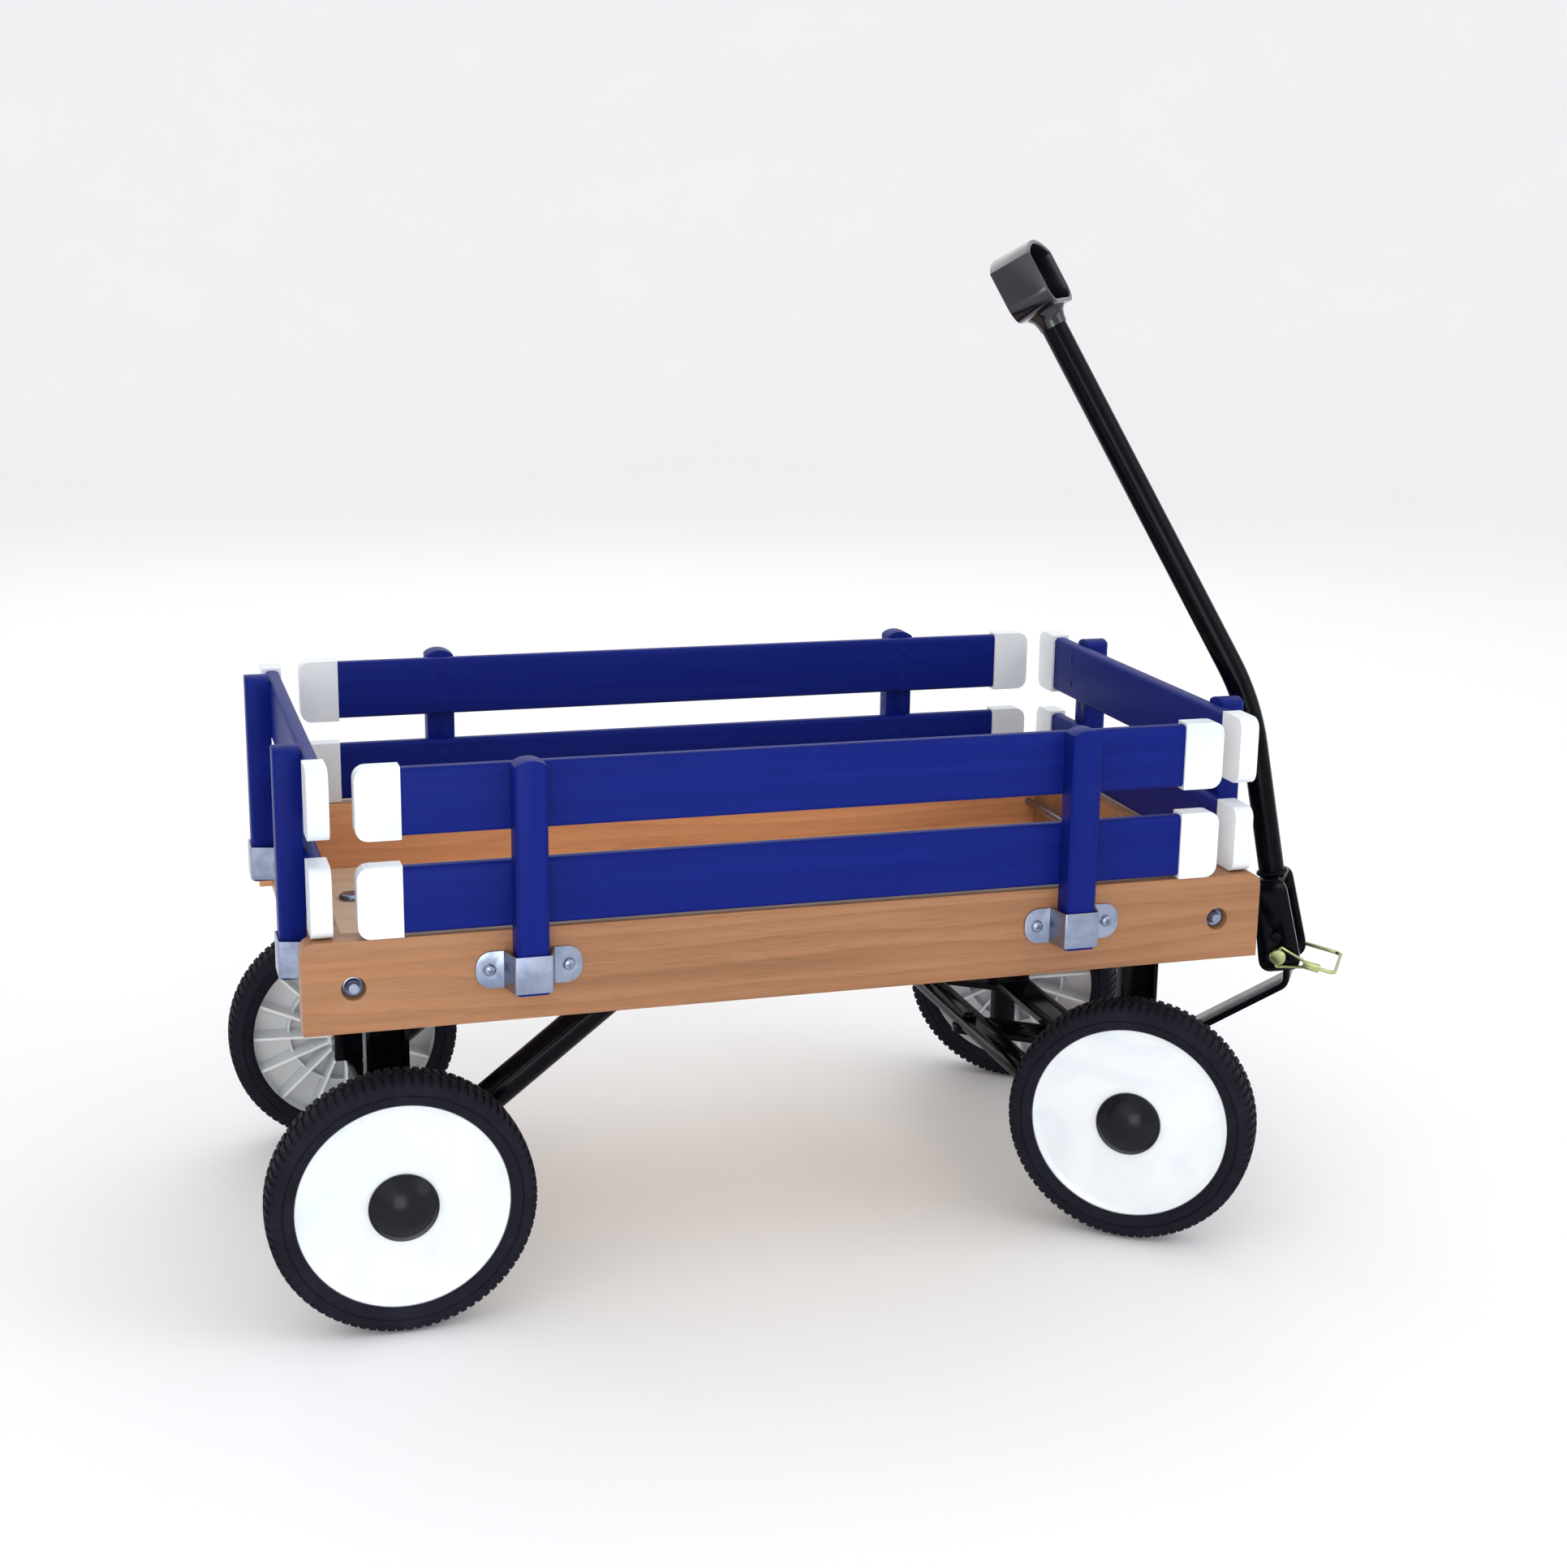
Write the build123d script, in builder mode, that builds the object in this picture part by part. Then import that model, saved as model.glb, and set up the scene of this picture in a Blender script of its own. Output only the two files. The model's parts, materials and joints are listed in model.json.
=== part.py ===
from build123d import *
from math import atan2, cos, degrees, radians, sin
import os

os.makedirs("parts", exist_ok=True)

# Frame: millimetres, +X towards the front of the wagon, +Y to its left, +Z up.
# The origin lies on the ground under the middle of the bed.

# ---------------------------------------------------------------- bed
bed_length = 700.0          # side boards, end to end
bed_width = 379.0           # over the outer faces of the side boards
bed_underside = 221.5       # ground to the lower edge of the boards
board_height = 64.0
board_thickness = 19.0
board_corner_radius = 9.0   # upper corners of the side boards
end_board_face = 340.5      # middle of the bed to the outer face of an end board
floor_thickness = 11.0

cross_rod_inset = 5.5       # end boards to the middle of the steel rods that clamp the bed
cross_rod_height = 31.0     # above the lower edge of the boards
cross_rod_diameter = 6.4
counterbore_diameter = 16.6
counterbore_depth = 7.5
rod_nut_flats = 10.0
rod_nut_height = 6.0
rod_flange_diameter = 14.6
rod_flange_thickness = 1.4

# ---------------------------------------------------------------- lift-out racks
slat_height = 46.0
slat_thickness = 11.0
slat_gap = 21.0             # between the lower and the upper slat
side_rack_length = 624.0
end_rack_setback = 2.5      # outer faces of the side boards to the ends of the end racks
side_stake_spacing = 397.0
end_stake_spacing = 244.0
stake_width = 22.0
stake_thickness = 18.0
stake_rise = 4.5            # top of a stake above the upper slat
stake_arch = 4.0            # rise of the rounded stake top
stake_chamfer = 2.0
stake_projection = 2.0      # lower end of a stake below its pocket
cap_length = 30.0           # white end cap along the slat
cap_wall = 1.6
cap_corner_radius = 7.0
cap_seat_gap = 0.5          # lowest cap above the boards

# ---------------------------------------------------------------- stake pockets
pocket_height = 26.0
pocket_strap = 1.5
pocket_width = 73.0         # over both ears
pocket_above_board_edge = 24.0   # lower edge of the bed to the lower edge of a pocket
pocket_clearance = 0.3      # stake to pocket, each side
pocket_splay = 5.0          # each web leans out by this much from the front to the ears
pocket_ear_radius = 11.0
pocket_screw_pitch = 54.0
pocket_screw_diameter = 4.0
pocket_screw_length = 15.0
pocket_screw_head_diameter = 8.5
pocket_screw_head_height = 2.6

rack_screw_diameter = 4.0
rack_screw_length = 24.0
rack_screw_head_diameter = 7.6
rack_screw_pitch = 22.0     # the two screws of one slat and stake, one above the other

# ---------------------------------------------------------------- wheels
wheel_radius = 93.0
tyre_width = 35.0
tyre_depth = 15.0           # tread to rim
tyre_lip = 4.0              # how far the tyre laps over the hub disc
rim_width = 26.0
hub_plate_thickness = 3.0
hub_drum_wall = 3.0
hub_barrel_diameter = 30.0
hub_barrel_inboard = 19.0   # wheel plane to the inner end of the barrel
hub_ribs = 12
hub_rib_thickness = 2.4
wheel_plane = 176.0         # middle of the wagon to the middle plane of each straight wheel
axle_diameter = 12.7
bore_clearance = 0.1        # hub on axle, on the radius
cap_radius = 24.3
cap_height = 14.0
cap_wall_thickness = 2.0
cap_skirt = 2.0             # straight edge of the cap below its dome
washer_thickness = 1.6
nut_flats = 19.0
nut_height = 7.6
axle_end_beyond_nut = 1.0
axle_shoulder_diameter = 19.0
axle_shoulder_length = 2.2
shoulder_play = 0.3         # wheel hub to shoulder, along the axle

# ---------------------------------------------------------------- rear axle and its frame
rear_axle_x = -287.0
column_width = 30.0         # along the wagon
column_plate = 3.0
rear_column_web = 101.0     # middle of the wagon to the inner face of the rear column's web
rear_flange_depth = 21.0
top_plate_thickness = 4.0
top_plate_half = 125.0
brace_diameter = 24.0
brace_wall = 2.0
brace_y = 113.0
brace_foot_x = -268.0       # lower end of the brace, on its centre line
brace_foot_z = 95.0
brace_head_x = -106.0       # where its centre line meets the underside of the bed
brace_tab_length = 44.0
brace_tab_thickness = 5.0
brace_tab_width = 30.0

# ---------------------------------------------------------------- front axle, steering
front_axle_x = 286.5
kingpin_y = 139.5
beam_width = 30.0
beam_thickness = 5.0
beam_underside = 99.9
beam_end_radius = 13.0
front_column_web = 116.0
front_flange_depth = 9.0
steer_rest = 35.5           # the steering stands turned to the right
pivot_diameter = 12.0
pivot_clearance = 0.08      # pin in bush, on the radius
pivot_head_flats = 18.0
pivot_head_height = 7.0
sleeve_diameter = 22.0
sleeve_length = 38.0
sleeve_play = 0.3           # sleeve to beam and to nut
arm_length = 84.0           # kingpin to tie-rod pin; the tongue's arm is the same
arm_width = 25.0
arm_thickness = 5.0
arm_underside = 92.0
tie_rod_width = 25.0
tie_rod_thickness = 5.0
tie_rod_play = 0.3          # tie rod to the arms under it
rivet_diameter = 6.0
rivet_clearance = 0.15      # rivet in the arms, on the radius
rivet_head_diameter = 12.0
rivet_head_height = 4.5
rivet_tail_height = 3.0

# ---------------------------------------------------------------- tongue
tongue_width = 36.0
tongue_thickness = 5.0
tongue_tail = 97.0          # pivot to the rear end of the bar
tongue_knee = 68.0          # pivot to the bend where the bar starts to climb
tongue_front = 175.5        # pivot to the middle of the upright end
tongue_climb_top = 168.0    # height of the second bend
tongue_tip = 199.0          # top of the upright end
tongue_bend_radius = 9.0
hinge_reach = 169.0         # pivot to the handle hinge
hinge_height = 193.0
eye_diameter = 16.0
stop_lug_thickness = 4.4
stop_lug_height = 19.0      # above the hinge
stop_lug_width = 20.0
stop_gap = 0.2

# ---------------------------------------------------------------- handle
handle_lean = 11.0          # lower leg, back from upright
handle_bend = 19.6          # the upper leg leans back by this much more
handle_knee = 199.7         # hinge to the bend
handle_upper = 368.0        # bend to the middle of the grip
handle_tube_diameter = 20.0
handle_tube_wall = 2.0
handle_bend_radius = 200.0
yoke_gap = 37.2             # between the two cheeks
yoke_plate = 4.0
yoke_foot = 14.0            # hinge to the lower edge
yoke_head = 62.0            # hinge to the top of the yoke
yoke_depth_low = 32.0
yoke_depth_top = 25.0
yoke_bend_radius = 5.0
yoke_foot_radius = 10.0
grip_across = 78.0
grip_along = 54.0
grip_depth = 34.0
grip_strap = 5.0
grip_corner_radius = 15.0
stop_rivet_height = 15.0    # hinge to the stop rivet
stop_rivet_diameter = 6.0
stop_rivet_head = 9.0
stop_rivet_head_height = 2.0

# ---------------------------------------------------------------- lock pin and bail
lock_pin_diameter = 9.5
lock_pin_clearance = 0.1
lock_pin_head_diameter = 12.6
lock_pin_head_height = 6.0
lock_pin_tip = 8.0          # shank beyond the far cheek
pin_play = 0.3              # head to cheek
bail_wire = 2.4
bail_head_gap = 1.0         # wires to the pin head they pass over
bail_reach = 45.0           # hinge to the cross part of the bail
bail_drop = 11.0            # degrees the bail points down
bail_bend_radius = 5.0
bail_gap = 0.4              # far end of the bail to the pin
sleeve_crimp_length = 13.0
sleeve_crimp_start = 20.0

# ---------------------------------------------------------------- floor bolts
floor_bolt_diameter = 8.0
floor_bolt_head_diameter = 19.0
floor_bolt_head_height = 4.5
floor_bolt_y = 84.0
floor_nut_flats = 13.0
floor_nut_height = 6.5
bolt_end = 2.0              # thread beyond a nut

# ---------------------------------------------------------------- derived places
board_top = bed_underside + board_height
floor_top = bed_underside + floor_thickness
side_face = bed_width / 2
side_inner_face = side_face - board_thickness
end_inner_face = end_board_face - board_thickness
cross_rod_x = end_inner_face - cross_rod_inset
end_rack_length = bed_width - 2 * end_rack_setback
cross_rod_z = bed_underside + cross_rod_height
lower_slat_z = board_top + cap_seat_gap + cap_wall
upper_slat_z = lower_slat_z + slat_height + slat_gap
rack_top = upper_slat_z + slat_height
pocket_z = bed_underside + pocket_above_board_edge
stake_bottom = pocket_z - stake_projection
stake_top = rack_top + stake_rise
axle_z = wheel_radius
rim_radius = wheel_radius - tyre_depth
tyre_lip_radius = rim_radius - tyre_lip    # visible edge of the hub disc
rear_plate_bottom = bed_underside - top_plate_thickness
beam_top = beam_underside + beam_thickness
kingpin_offset = wheel_plane - kingpin_y
arm_top = arm_underside + arm_thickness
tie_rod_z = arm_top + tie_rod_play
wheel_face = rim_width / 2
nut_seat = wheel_face + washer_thickness
spindle_end = nut_seat + nut_height + axle_end_beyond_nut
yoke_half = yoke_gap / 2 + yoke_plate
hinge_x = front_axle_x + hinge_reach

SIDES = {"right": 0, "front": 90, "left": 180, "rear": -90}


def save(shape, name):
    """Label a finished piece and write its STEP file."""
    shape.label = name
    export_step(shape, f"parts/{name}.step")


def on_side(shape, side):
    """Carry a piece drawn against the plane Y = 0, outward -Y, to one face of the bed."""
    face = side_face if side in ("right", "left") else end_board_face
    return shape.moved(Location((0, 0, 0), (0, 0, SIDES[side])) * Location((0, -face, 0)))


def steered(shape, pivot_y=0.0):
    """Turn a piece drawn straight ahead to the standing steering angle."""
    return shape.rotate(Axis((front_axle_x, pivot_y, 0), (0, 0, 1)), -steer_rest)


def hex_radius(flats):
    """Corner radius of a hexagon from its width over the flats."""
    return flats / 2 / cos(radians(30))


# ================================================================ bed boards
def side_board():
    """Right-hand side board, with the counterbored holes for the two cross rods."""
    with BuildPart() as board:
        with BuildSketch(Plane.XZ.offset(side_inner_face)) as outline:
            with Locations((0, bed_underside + board_height / 2)):
                Rectangle(bed_length, board_height)
            fillet(outline.vertices().group_by(Axis.Y)[-1], board_corner_radius)
        extrude(amount=board_thickness)
        with BuildSketch(Plane.XZ.offset(side_face)):
            with Locations((-cross_rod_x, cross_rod_z), (cross_rod_x, cross_rod_z)):
                Circle(counterbore_diameter / 2)
        extrude(amount=-counterbore_depth, mode=Mode.SUBTRACT)
        with BuildSketch(Plane.XZ.offset(side_face)):
            with Locations((-cross_rod_x, cross_rod_z), (cross_rod_x, cross_rod_z)):
                Circle(cross_rod_diameter / 2)
        extrude(amount=-board_thickness, mode=Mode.SUBTRACT)
        with BuildSketch(Plane.XZ.offset(side_face)):
            with Locations(*screw_points("right")):
                Circle(pocket_screw_diameter / 2)
        extrude(amount=pocket_strap - pocket_screw_length, mode=Mode.SUBTRACT)
    return board.part


def stake_spacing(side):
    """Distance between the two stakes of the rack on one side."""
    return side_stake_spacing if side in ("right", "left") else end_stake_spacing


def screw_points(side):
    """Pocket screws of one side, along the face and up."""
    height = pocket_z + pocket_height / 2
    return [
        (stake * stake_spacing(side) / 2 + screw * pocket_screw_pitch / 2, height)
        for stake in (-1, 1)
        for screw in (-1, 1)
    ]


def end_board():
    """Front end board, drawn against its outer face, with the pocket screw holes."""
    with BuildPart() as board:
        with BuildSketch(Plane.XZ.offset(-board_thickness)):
            with Locations((0, bed_underside + board_height / 2)):
                Rectangle(2 * side_inner_face, board_height)
        extrude(amount=board_thickness)
        with BuildSketch(Plane.XZ):
            with Locations(*screw_points("front")):
                Circle(pocket_screw_diameter / 2)
        extrude(amount=pocket_strap - pocket_screw_length, mode=Mode.SUBTRACT)
    return board.part


right_board = side_board()
save(right_board, "right_side_board")
save(right_board.mirror(Plane.XZ), "left_side_board")
plain_end = end_board()
save(on_side(plain_end, "front"), "front_end_board")
save(on_side(plain_end, "rear"), "rear_end_board")

brace_tab_x = brace_head_x + brace_tab_length / 2 + 4
floor_bolt_points = [
    (x, side * y)
    for x, y in (
        (rear_axle_x, floor_bolt_y),
        (front_axle_x, floor_bolt_y),
        (brace_tab_x, brace_y),
    )
    for side in (-1, 1)
]

with BuildPart() as floor_panel:
    with BuildSketch(Plane.XY.offset(bed_underside)):
        Rectangle(2 * end_inner_face, 2 * side_inner_face)
        with Locations(*floor_bolt_points):
            Circle(floor_bolt_diameter / 2, mode=Mode.SUBTRACT)
    extrude(amount=floor_thickness)
save(floor_panel.part, "floor_panel")

# ================================================================ cross rods
rod_half_length = side_face - 0.8
nut_face = side_face - counterbore_depth

with BuildPart() as cross_rods:
    for x in (-cross_rod_x, cross_rod_x):
        with BuildSketch(Plane.XZ.offset(-rod_half_length)):
            with Locations((x, cross_rod_z)):
                Circle(cross_rod_diameter / 2)
        extrude(amount=2 * rod_half_length)
save(cross_rods.part, "cross_rods")

with BuildPart() as cross_rod_nuts:
    for x in (-cross_rod_x, cross_rod_x):
        with BuildSketch(Plane.XZ.offset(nut_face)):
            with Locations((x, cross_rod_z)):
                Circle(rod_flange_diameter / 2)
                Circle(cross_rod_diameter / 2, mode=Mode.SUBTRACT)
        extrude(amount=rod_flange_thickness)
        with BuildSketch(Plane.XZ.offset(nut_face)):
            with Locations((x, cross_rod_z)):
                RegularPolygon(hex_radius(rod_nut_flats), 6)
                Circle(cross_rod_diameter / 2, mode=Mode.SUBTRACT)
        extrude(amount=rod_nut_height)
    mirror(about=Plane.XZ)
save(cross_rod_nuts.part, "cross_rod_nuts")


# ================================================================ stake pockets
def bay(half, depth):
    """Plan of the room in a pocket, or of the strap round it: narrow in front, splayed at the board."""
    return (-half - pocket_splay, 0), (-half, -depth), (half, -depth), (half + pocket_splay, 0)


def stake_pockets(side):
    """The two strap pockets of one side, drawn against the plane Y = 0."""
    inner_width = stake_width + 2 * pocket_clearance
    inner_depth = stake_thickness + pocket_clearance
    with BuildPart() as pockets:
        for stake in (-1, 1):
            x = stake * stake_spacing(side) / 2
            with BuildSketch(Plane.XY.offset(pocket_z)):
                with Locations((x, -pocket_strap / 2)):
                    Rectangle(pocket_width, pocket_strap)
                with Locations((x, 0)):
                    Polygon(*bay(inner_width / 2 + pocket_strap, inner_depth + pocket_strap), align=None)
                    Polygon(*bay(inner_width / 2, inner_depth), align=None, mode=Mode.SUBTRACT)
            extrude(amount=pocket_height)
        ear_tips = pockets.edges().filter_by(Axis.Y).filter_by(
            lambda edge: min(
                abs(abs(edge.center().X - stake * stake_spacing(side) / 2) - pocket_width / 2)
                for stake in (-1, 1)
            ) < 0.1
        )
        fillet(ear_tips, pocket_ear_radius)
        outer_bends = pockets.edges().filter_by(Axis.Z).group_by(Axis.Y)[0]
        fillet(outer_bends, pocket_strap)
        with BuildSketch(Plane.XZ):
            with Locations(*screw_points(side)):
                Circle(pocket_screw_diameter / 2)
        extrude(amount=pocket_strap, mode=Mode.SUBTRACT)
    return pockets.part


def pocket_screws(side):
    """Pan-head screws of one side's pockets, drawn against the plane Y = 0."""
    with BuildPart() as screws:
        with BuildSketch(Plane.XZ.offset(pocket_strap)):
            with Locations(*screw_points(side)):
                Circle(pocket_screw_head_diameter / 2)
        extrude(amount=pocket_screw_head_height)
        fillet(screws.edges().group_by(Axis.Y)[0], 1.8)
        with BuildSketch(Plane.XZ.offset(pocket_strap)):
            with Locations(*screw_points(side)):
                Circle(pocket_screw_diameter / 2)
        extrude(amount=-pocket_screw_length)
    return screws.part


for kind, sides in (("side", ("right", "left")), ("end", ("front", "rear"))):
    pair = [on_side(stake_pockets(side), side) for side in sides]
    save(Compound(children=[solid for part in pair for solid in part.solids()]), f"{kind}_stake_pockets")
all_screws = [on_side(pocket_screws(side), side) for side in SIDES]
save(Compound(children=[solid for part in all_screws for solid in part.solids()]), "pocket_screws")


# ================================================================ racks
def rack_length(side):
    """Length of the rack on one side over its end caps."""
    return side_rack_length if side in ("right", "left") else end_rack_length


def rack_screw_points(side):
    """Screws of one rack, along the face and up: two where each slat crosses a stake."""
    return [
        (stake * stake_spacing(side) / 2, slat + slat_height / 2 + up * rack_screw_pitch / 2)
        for stake in (-1, 1)
        for slat in (lower_slat_z, upper_slat_z)
        for up in (-1, 1)
    ]


def rack_screws(side):
    """Countersunk screws from the inner face of the slats into the stakes."""
    head_radius = rack_screw_head_diameter / 2
    shank_radius = rack_screw_diameter / 2
    head_height = head_radius - shank_radius
    with BuildPart() as screws:
        with BuildSketch(Plane.XZ.offset(-slat_thickness)):
            with Locations(*rack_screw_points(side)):
                Circle(shank_radius)
        extrude(amount=rack_screw_length)
        with BuildSketch(Plane.XZ.offset(-slat_thickness)):
            with Locations(*rack_screw_points(side)):
                Circle(head_radius)
        extrude(amount=head_height, taper=45)
    return screws.part


def rack_slats(side):
    """The two slats, outer faces on the plane Y = 0."""
    length = rack_length(side) - 2 * cap_wall
    with BuildPart() as slats:
        for z in (lower_slat_z, upper_slat_z):
            with BuildSketch(Plane.XZ.offset(-slat_thickness)):
                with Locations((0, z + slat_height / 2)):
                    RectangleRounded(length, slat_height, cap_corner_radius - cap_wall)
            extrude(amount=slat_thickness)
        add(rack_screws(side), mode=Mode.SUBTRACT)
    return slats.part


def rack_stakes(side):
    """The two stakes, outside the slats, with chamfered edges and rounded tops."""
    half = stake_width / 2
    with BuildPart() as stakes:
        for stake in (-1, 1):
            x = stake * stake_spacing(side) / 2
            with BuildSketch(Plane.XZ):
                with BuildLine():
                    Polyline(
                        (x - half, stake_top - stake_arch),
                        (x - half, stake_bottom),
                        (x + half, stake_bottom),
                        (x + half, stake_top - stake_arch),
                    )
                    ThreePointArc(
                        (x + half, stake_top - stake_arch),
                        (x, stake_top),
                        (x - half, stake_top - stake_arch),
                    )
                make_face()
            extrude(amount=stake_thickness)
        chamfer(stakes.edges().filter_by(Axis.Z).group_by(Axis.Y)[0], stake_chamfer)
        add(rack_screws(side), mode=Mode.SUBTRACT)
    return stakes.part


def rack_caps(side):
    """The four moulded end caps that wrap the slat ends."""
    length = rack_length(side)
    reach = cap_length - cap_corner_radius
    with BuildPart() as caps:
        for end in (-1, 1):
            for z in (lower_slat_z, upper_slat_z):
                middle = z + slat_height / 2
                tall = slat_height + 2 * cap_wall
                with BuildSketch(Plane.XZ.offset(-slat_thickness - cap_wall)):
                    with Locations((end * (length / 2 - cap_length / 2), middle)):
                        RectangleRounded(cap_length, tall, cap_corner_radius)
                    with Locations((end * (length / 2 - cap_length + reach / 2), middle)):
                        Rectangle(reach, tall)
                extrude(amount=slat_thickness + 2 * cap_wall)
        for face in (0, -1):
            fillet(caps.faces().filter_by(Axis.Y).group_by(Axis.Y)[face].edges(), cap_wall * 0.6)
        for z in (lower_slat_z, upper_slat_z):
            with BuildSketch(Plane.XZ.offset(-slat_thickness)):
                with Locations((0, z + slat_height / 2)):
                    RectangleRounded(
                        length - 2 * cap_wall, slat_height, cap_corner_radius - cap_wall
                    )
            extrude(amount=slat_thickness, mode=Mode.SUBTRACT)
    return caps.part


for side in SIDES:
    save(on_side(rack_slats(side), side), f"{side}_rack_slats")
    save(on_side(rack_stakes(side), side), f"{side}_rack_stakes")
    save(on_side(rack_caps(side), side), f"{side}_rack_caps")
    save(on_side(rack_screws(side), side), f"{side}_rack_screws")


# ================================================================ rear axle
rear_axle_half = wheel_plane + spindle_end
rear_shoulder = wheel_plane - hub_barrel_inboard - shoulder_play - axle_shoulder_length

with BuildPart() as rear_axle:
    with BuildSketch(Plane.XZ.offset(-rear_axle_half)):
        with Locations((rear_axle_x, axle_z)):
            Circle(axle_diameter / 2)
    extrude(amount=2 * rear_axle_half)
    for start in (rear_shoulder, -rear_shoulder - axle_shoulder_length):
        with BuildSketch(Plane.XZ.offset(start)):
            with Locations((rear_axle_x, axle_z)):
                Circle(axle_shoulder_diameter / 2)
        extrude(amount=axle_shoulder_length)
    chamfer(rear_axle.edges().group_by(Axis.Y)[0], 1)
    chamfer(rear_axle.edges().group_by(Axis.Y)[-1], 1)
save(rear_axle.part, "rear_axle")


def channel_column(x, web_inner, depth, bottom, top):
    """A U-channel standing upright on the right side, its flanges pointing outward."""
    with BuildPart() as column:
        with BuildSketch(Plane.XY.offset(bottom)):
            with Locations((x, -web_inner - column_plate / 2)):
                Rectangle(column_width, column_plate)
            for end in (-1, 1):
                with Locations((
                    x + end * (column_width - column_plate) / 2,
                    -web_inner - (column_plate + depth) / 2,
                )):
                    Rectangle(column_plate, column_plate + depth)
        extrude(amount=top - bottom)
        fillet(column.edges().filter_by(Axis.Z).group_by(Axis.Y)[-1], column_plate * 0.9)
    return column.part


rear_column = channel_column(
    rear_axle_x, rear_column_web, rear_flange_depth, axle_z, rear_plate_bottom
)
with BuildPart() as rear_axle_frame:
    with BuildSketch(Plane.XY.offset(rear_plate_bottom)) as plate:
        with Locations((rear_axle_x, 0)):
            Rectangle(column_width, 2 * top_plate_half)
        fillet(plate.vertices(), 6)
        with Locations(*[(rear_axle_x, side * floor_bolt_y) for side in (-1, 1)]):
            Circle(floor_bolt_diameter / 2, mode=Mode.SUBTRACT)
    extrude(amount=top_plate_thickness)
    add(rear_column)
    add(rear_column.mirror(Plane.XZ))
    with BuildSketch(Plane.XZ.offset(-rear_axle_half)):
        with Locations((rear_axle_x, axle_z)):
            Circle(axle_diameter / 2)
    extrude(amount=2 * rear_axle_half, mode=Mode.SUBTRACT)
save(rear_axle_frame.part, "rear_axle_frame")


def rear_brace():
    """Right-hand diagonal tube, with its upper end pressed flat and bolted to the floor."""
    climb = bed_underside - brace_foot_z
    run = brace_head_x - brace_foot_x
    slope = atan2(climb, run)
    tube_end_x = brace_head_x - (brace_diameter / 2 + brace_tab_thickness) / sin(slope) * 0.55
    tube_plane = Plane(
        origin=(brace_foot_x, -brace_y, brace_foot_z),
        x_dir=(0, 1, 0),
        z_dir=(cos(slope), 0, sin(slope)),
    )
    length = (tube_end_x - brace_foot_x) / cos(slope)
    column_front = rear_axle_x + column_width / 2
    with BuildPart() as brace:
        with BuildSketch(tube_plane.offset(-brace_diameter)):
            Circle(brace_diameter / 2)
            Circle(brace_diameter / 2 - brace_wall, mode=Mode.SUBTRACT)
        extrude(amount=length + brace_diameter)
        with BuildSketch(tube_plane.offset(length - 14)):
            Circle(brace_diameter / 2)
        with BuildSketch(Plane.YZ.offset(brace_head_x)):
            with Locations((-brace_y, bed_underside - brace_tab_thickness / 2)):
                Rectangle(brace_tab_width, brace_tab_thickness)
        loft()
        with BuildSketch(Plane.YZ.offset(brace_head_x)):
            with Locations((-brace_y, bed_underside - brace_tab_thickness / 2)):
                Rectangle(brace_tab_width, brace_tab_thickness)
        extrude(amount=brace_tab_length)
        fillet(brace.edges().filter_by(Axis.Z).group_by(Axis.X)[-1], brace_tab_width * 0.4)
        with BuildSketch(Plane.XY.offset(bed_underside)):
            with Locations((brace_tab_x, -brace_y)):
                Circle(floor_bolt_diameter / 2)
        extrude(amount=-2 * brace_tab_thickness, mode=Mode.SUBTRACT)
        split(bisect_by=Plane.YZ.offset(column_front), keep=Keep.TOP)
        split(bisect_by=Plane.XY.offset(bed_underside), keep=Keep.BOTTOM)
    return brace.part


right_brace = rear_brace()
braces = [right_brace.solid(), right_brace.mirror(Plane.XZ).solid()]
save(Compound(children=braces), "rear_braces")

# ================================================================ front axle frame
front_column = channel_column(
    front_axle_x, front_column_web, front_flange_depth, beam_top, rear_plate_bottom
)
pivot_points = [(front_axle_x, y) for y in (-kingpin_y, 0, kingpin_y)]

with BuildPart() as front_axle_frame:
    with BuildSketch(Plane.XY.offset(beam_underside)) as beam:
        with Locations((front_axle_x, 0)):
            Rectangle(beam_width, 2 * (kingpin_y + beam_end_radius))
        fillet(beam.vertices(), beam_end_radius)
        with Locations(*pivot_points):
            Circle(pivot_diameter / 2, mode=Mode.SUBTRACT)
    extrude(amount=beam_thickness)
    with BuildSketch(Plane.XY.offset(rear_plate_bottom)) as plate:
        with Locations((front_axle_x, 0)):
            Rectangle(column_width, 2 * (front_column_web + column_plate + front_flange_depth))
        fillet(plate.vertices(), 6)
        with Locations(*[(front_axle_x, side * floor_bolt_y) for side in (-1, 1)]):
            Circle(floor_bolt_diameter / 2, mode=Mode.SUBTRACT)
    extrude(amount=top_plate_thickness)
    add(front_column)
    add(front_column.mirror(Plane.XZ))
save(front_axle_frame.part, "front_axle_frame")

# ================================================================ floor bolts
with BuildPart() as floor_bolts:
    with BuildSketch(Plane.XY.offset(floor_top)):
        with Locations(*floor_bolt_points):
            Circle(floor_bolt_head_diameter / 2)
    extrude(amount=floor_bolt_head_height)
    fillet(floor_bolts.edges().group_by(Axis.Z)[-1], floor_bolt_head_height * 0.85)
    for points, plate in (
        (floor_bolt_points[:4], top_plate_thickness),
        (floor_bolt_points[4:], brace_tab_thickness),
    ):
        with BuildSketch(Plane.XY.offset(floor_top)):
            with Locations(*points):
                Circle(floor_bolt_diameter / 2)
        extrude(amount=-(floor_thickness + plate + floor_nut_height + bolt_end))
save(floor_bolts.part, "floor_bolts")

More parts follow.
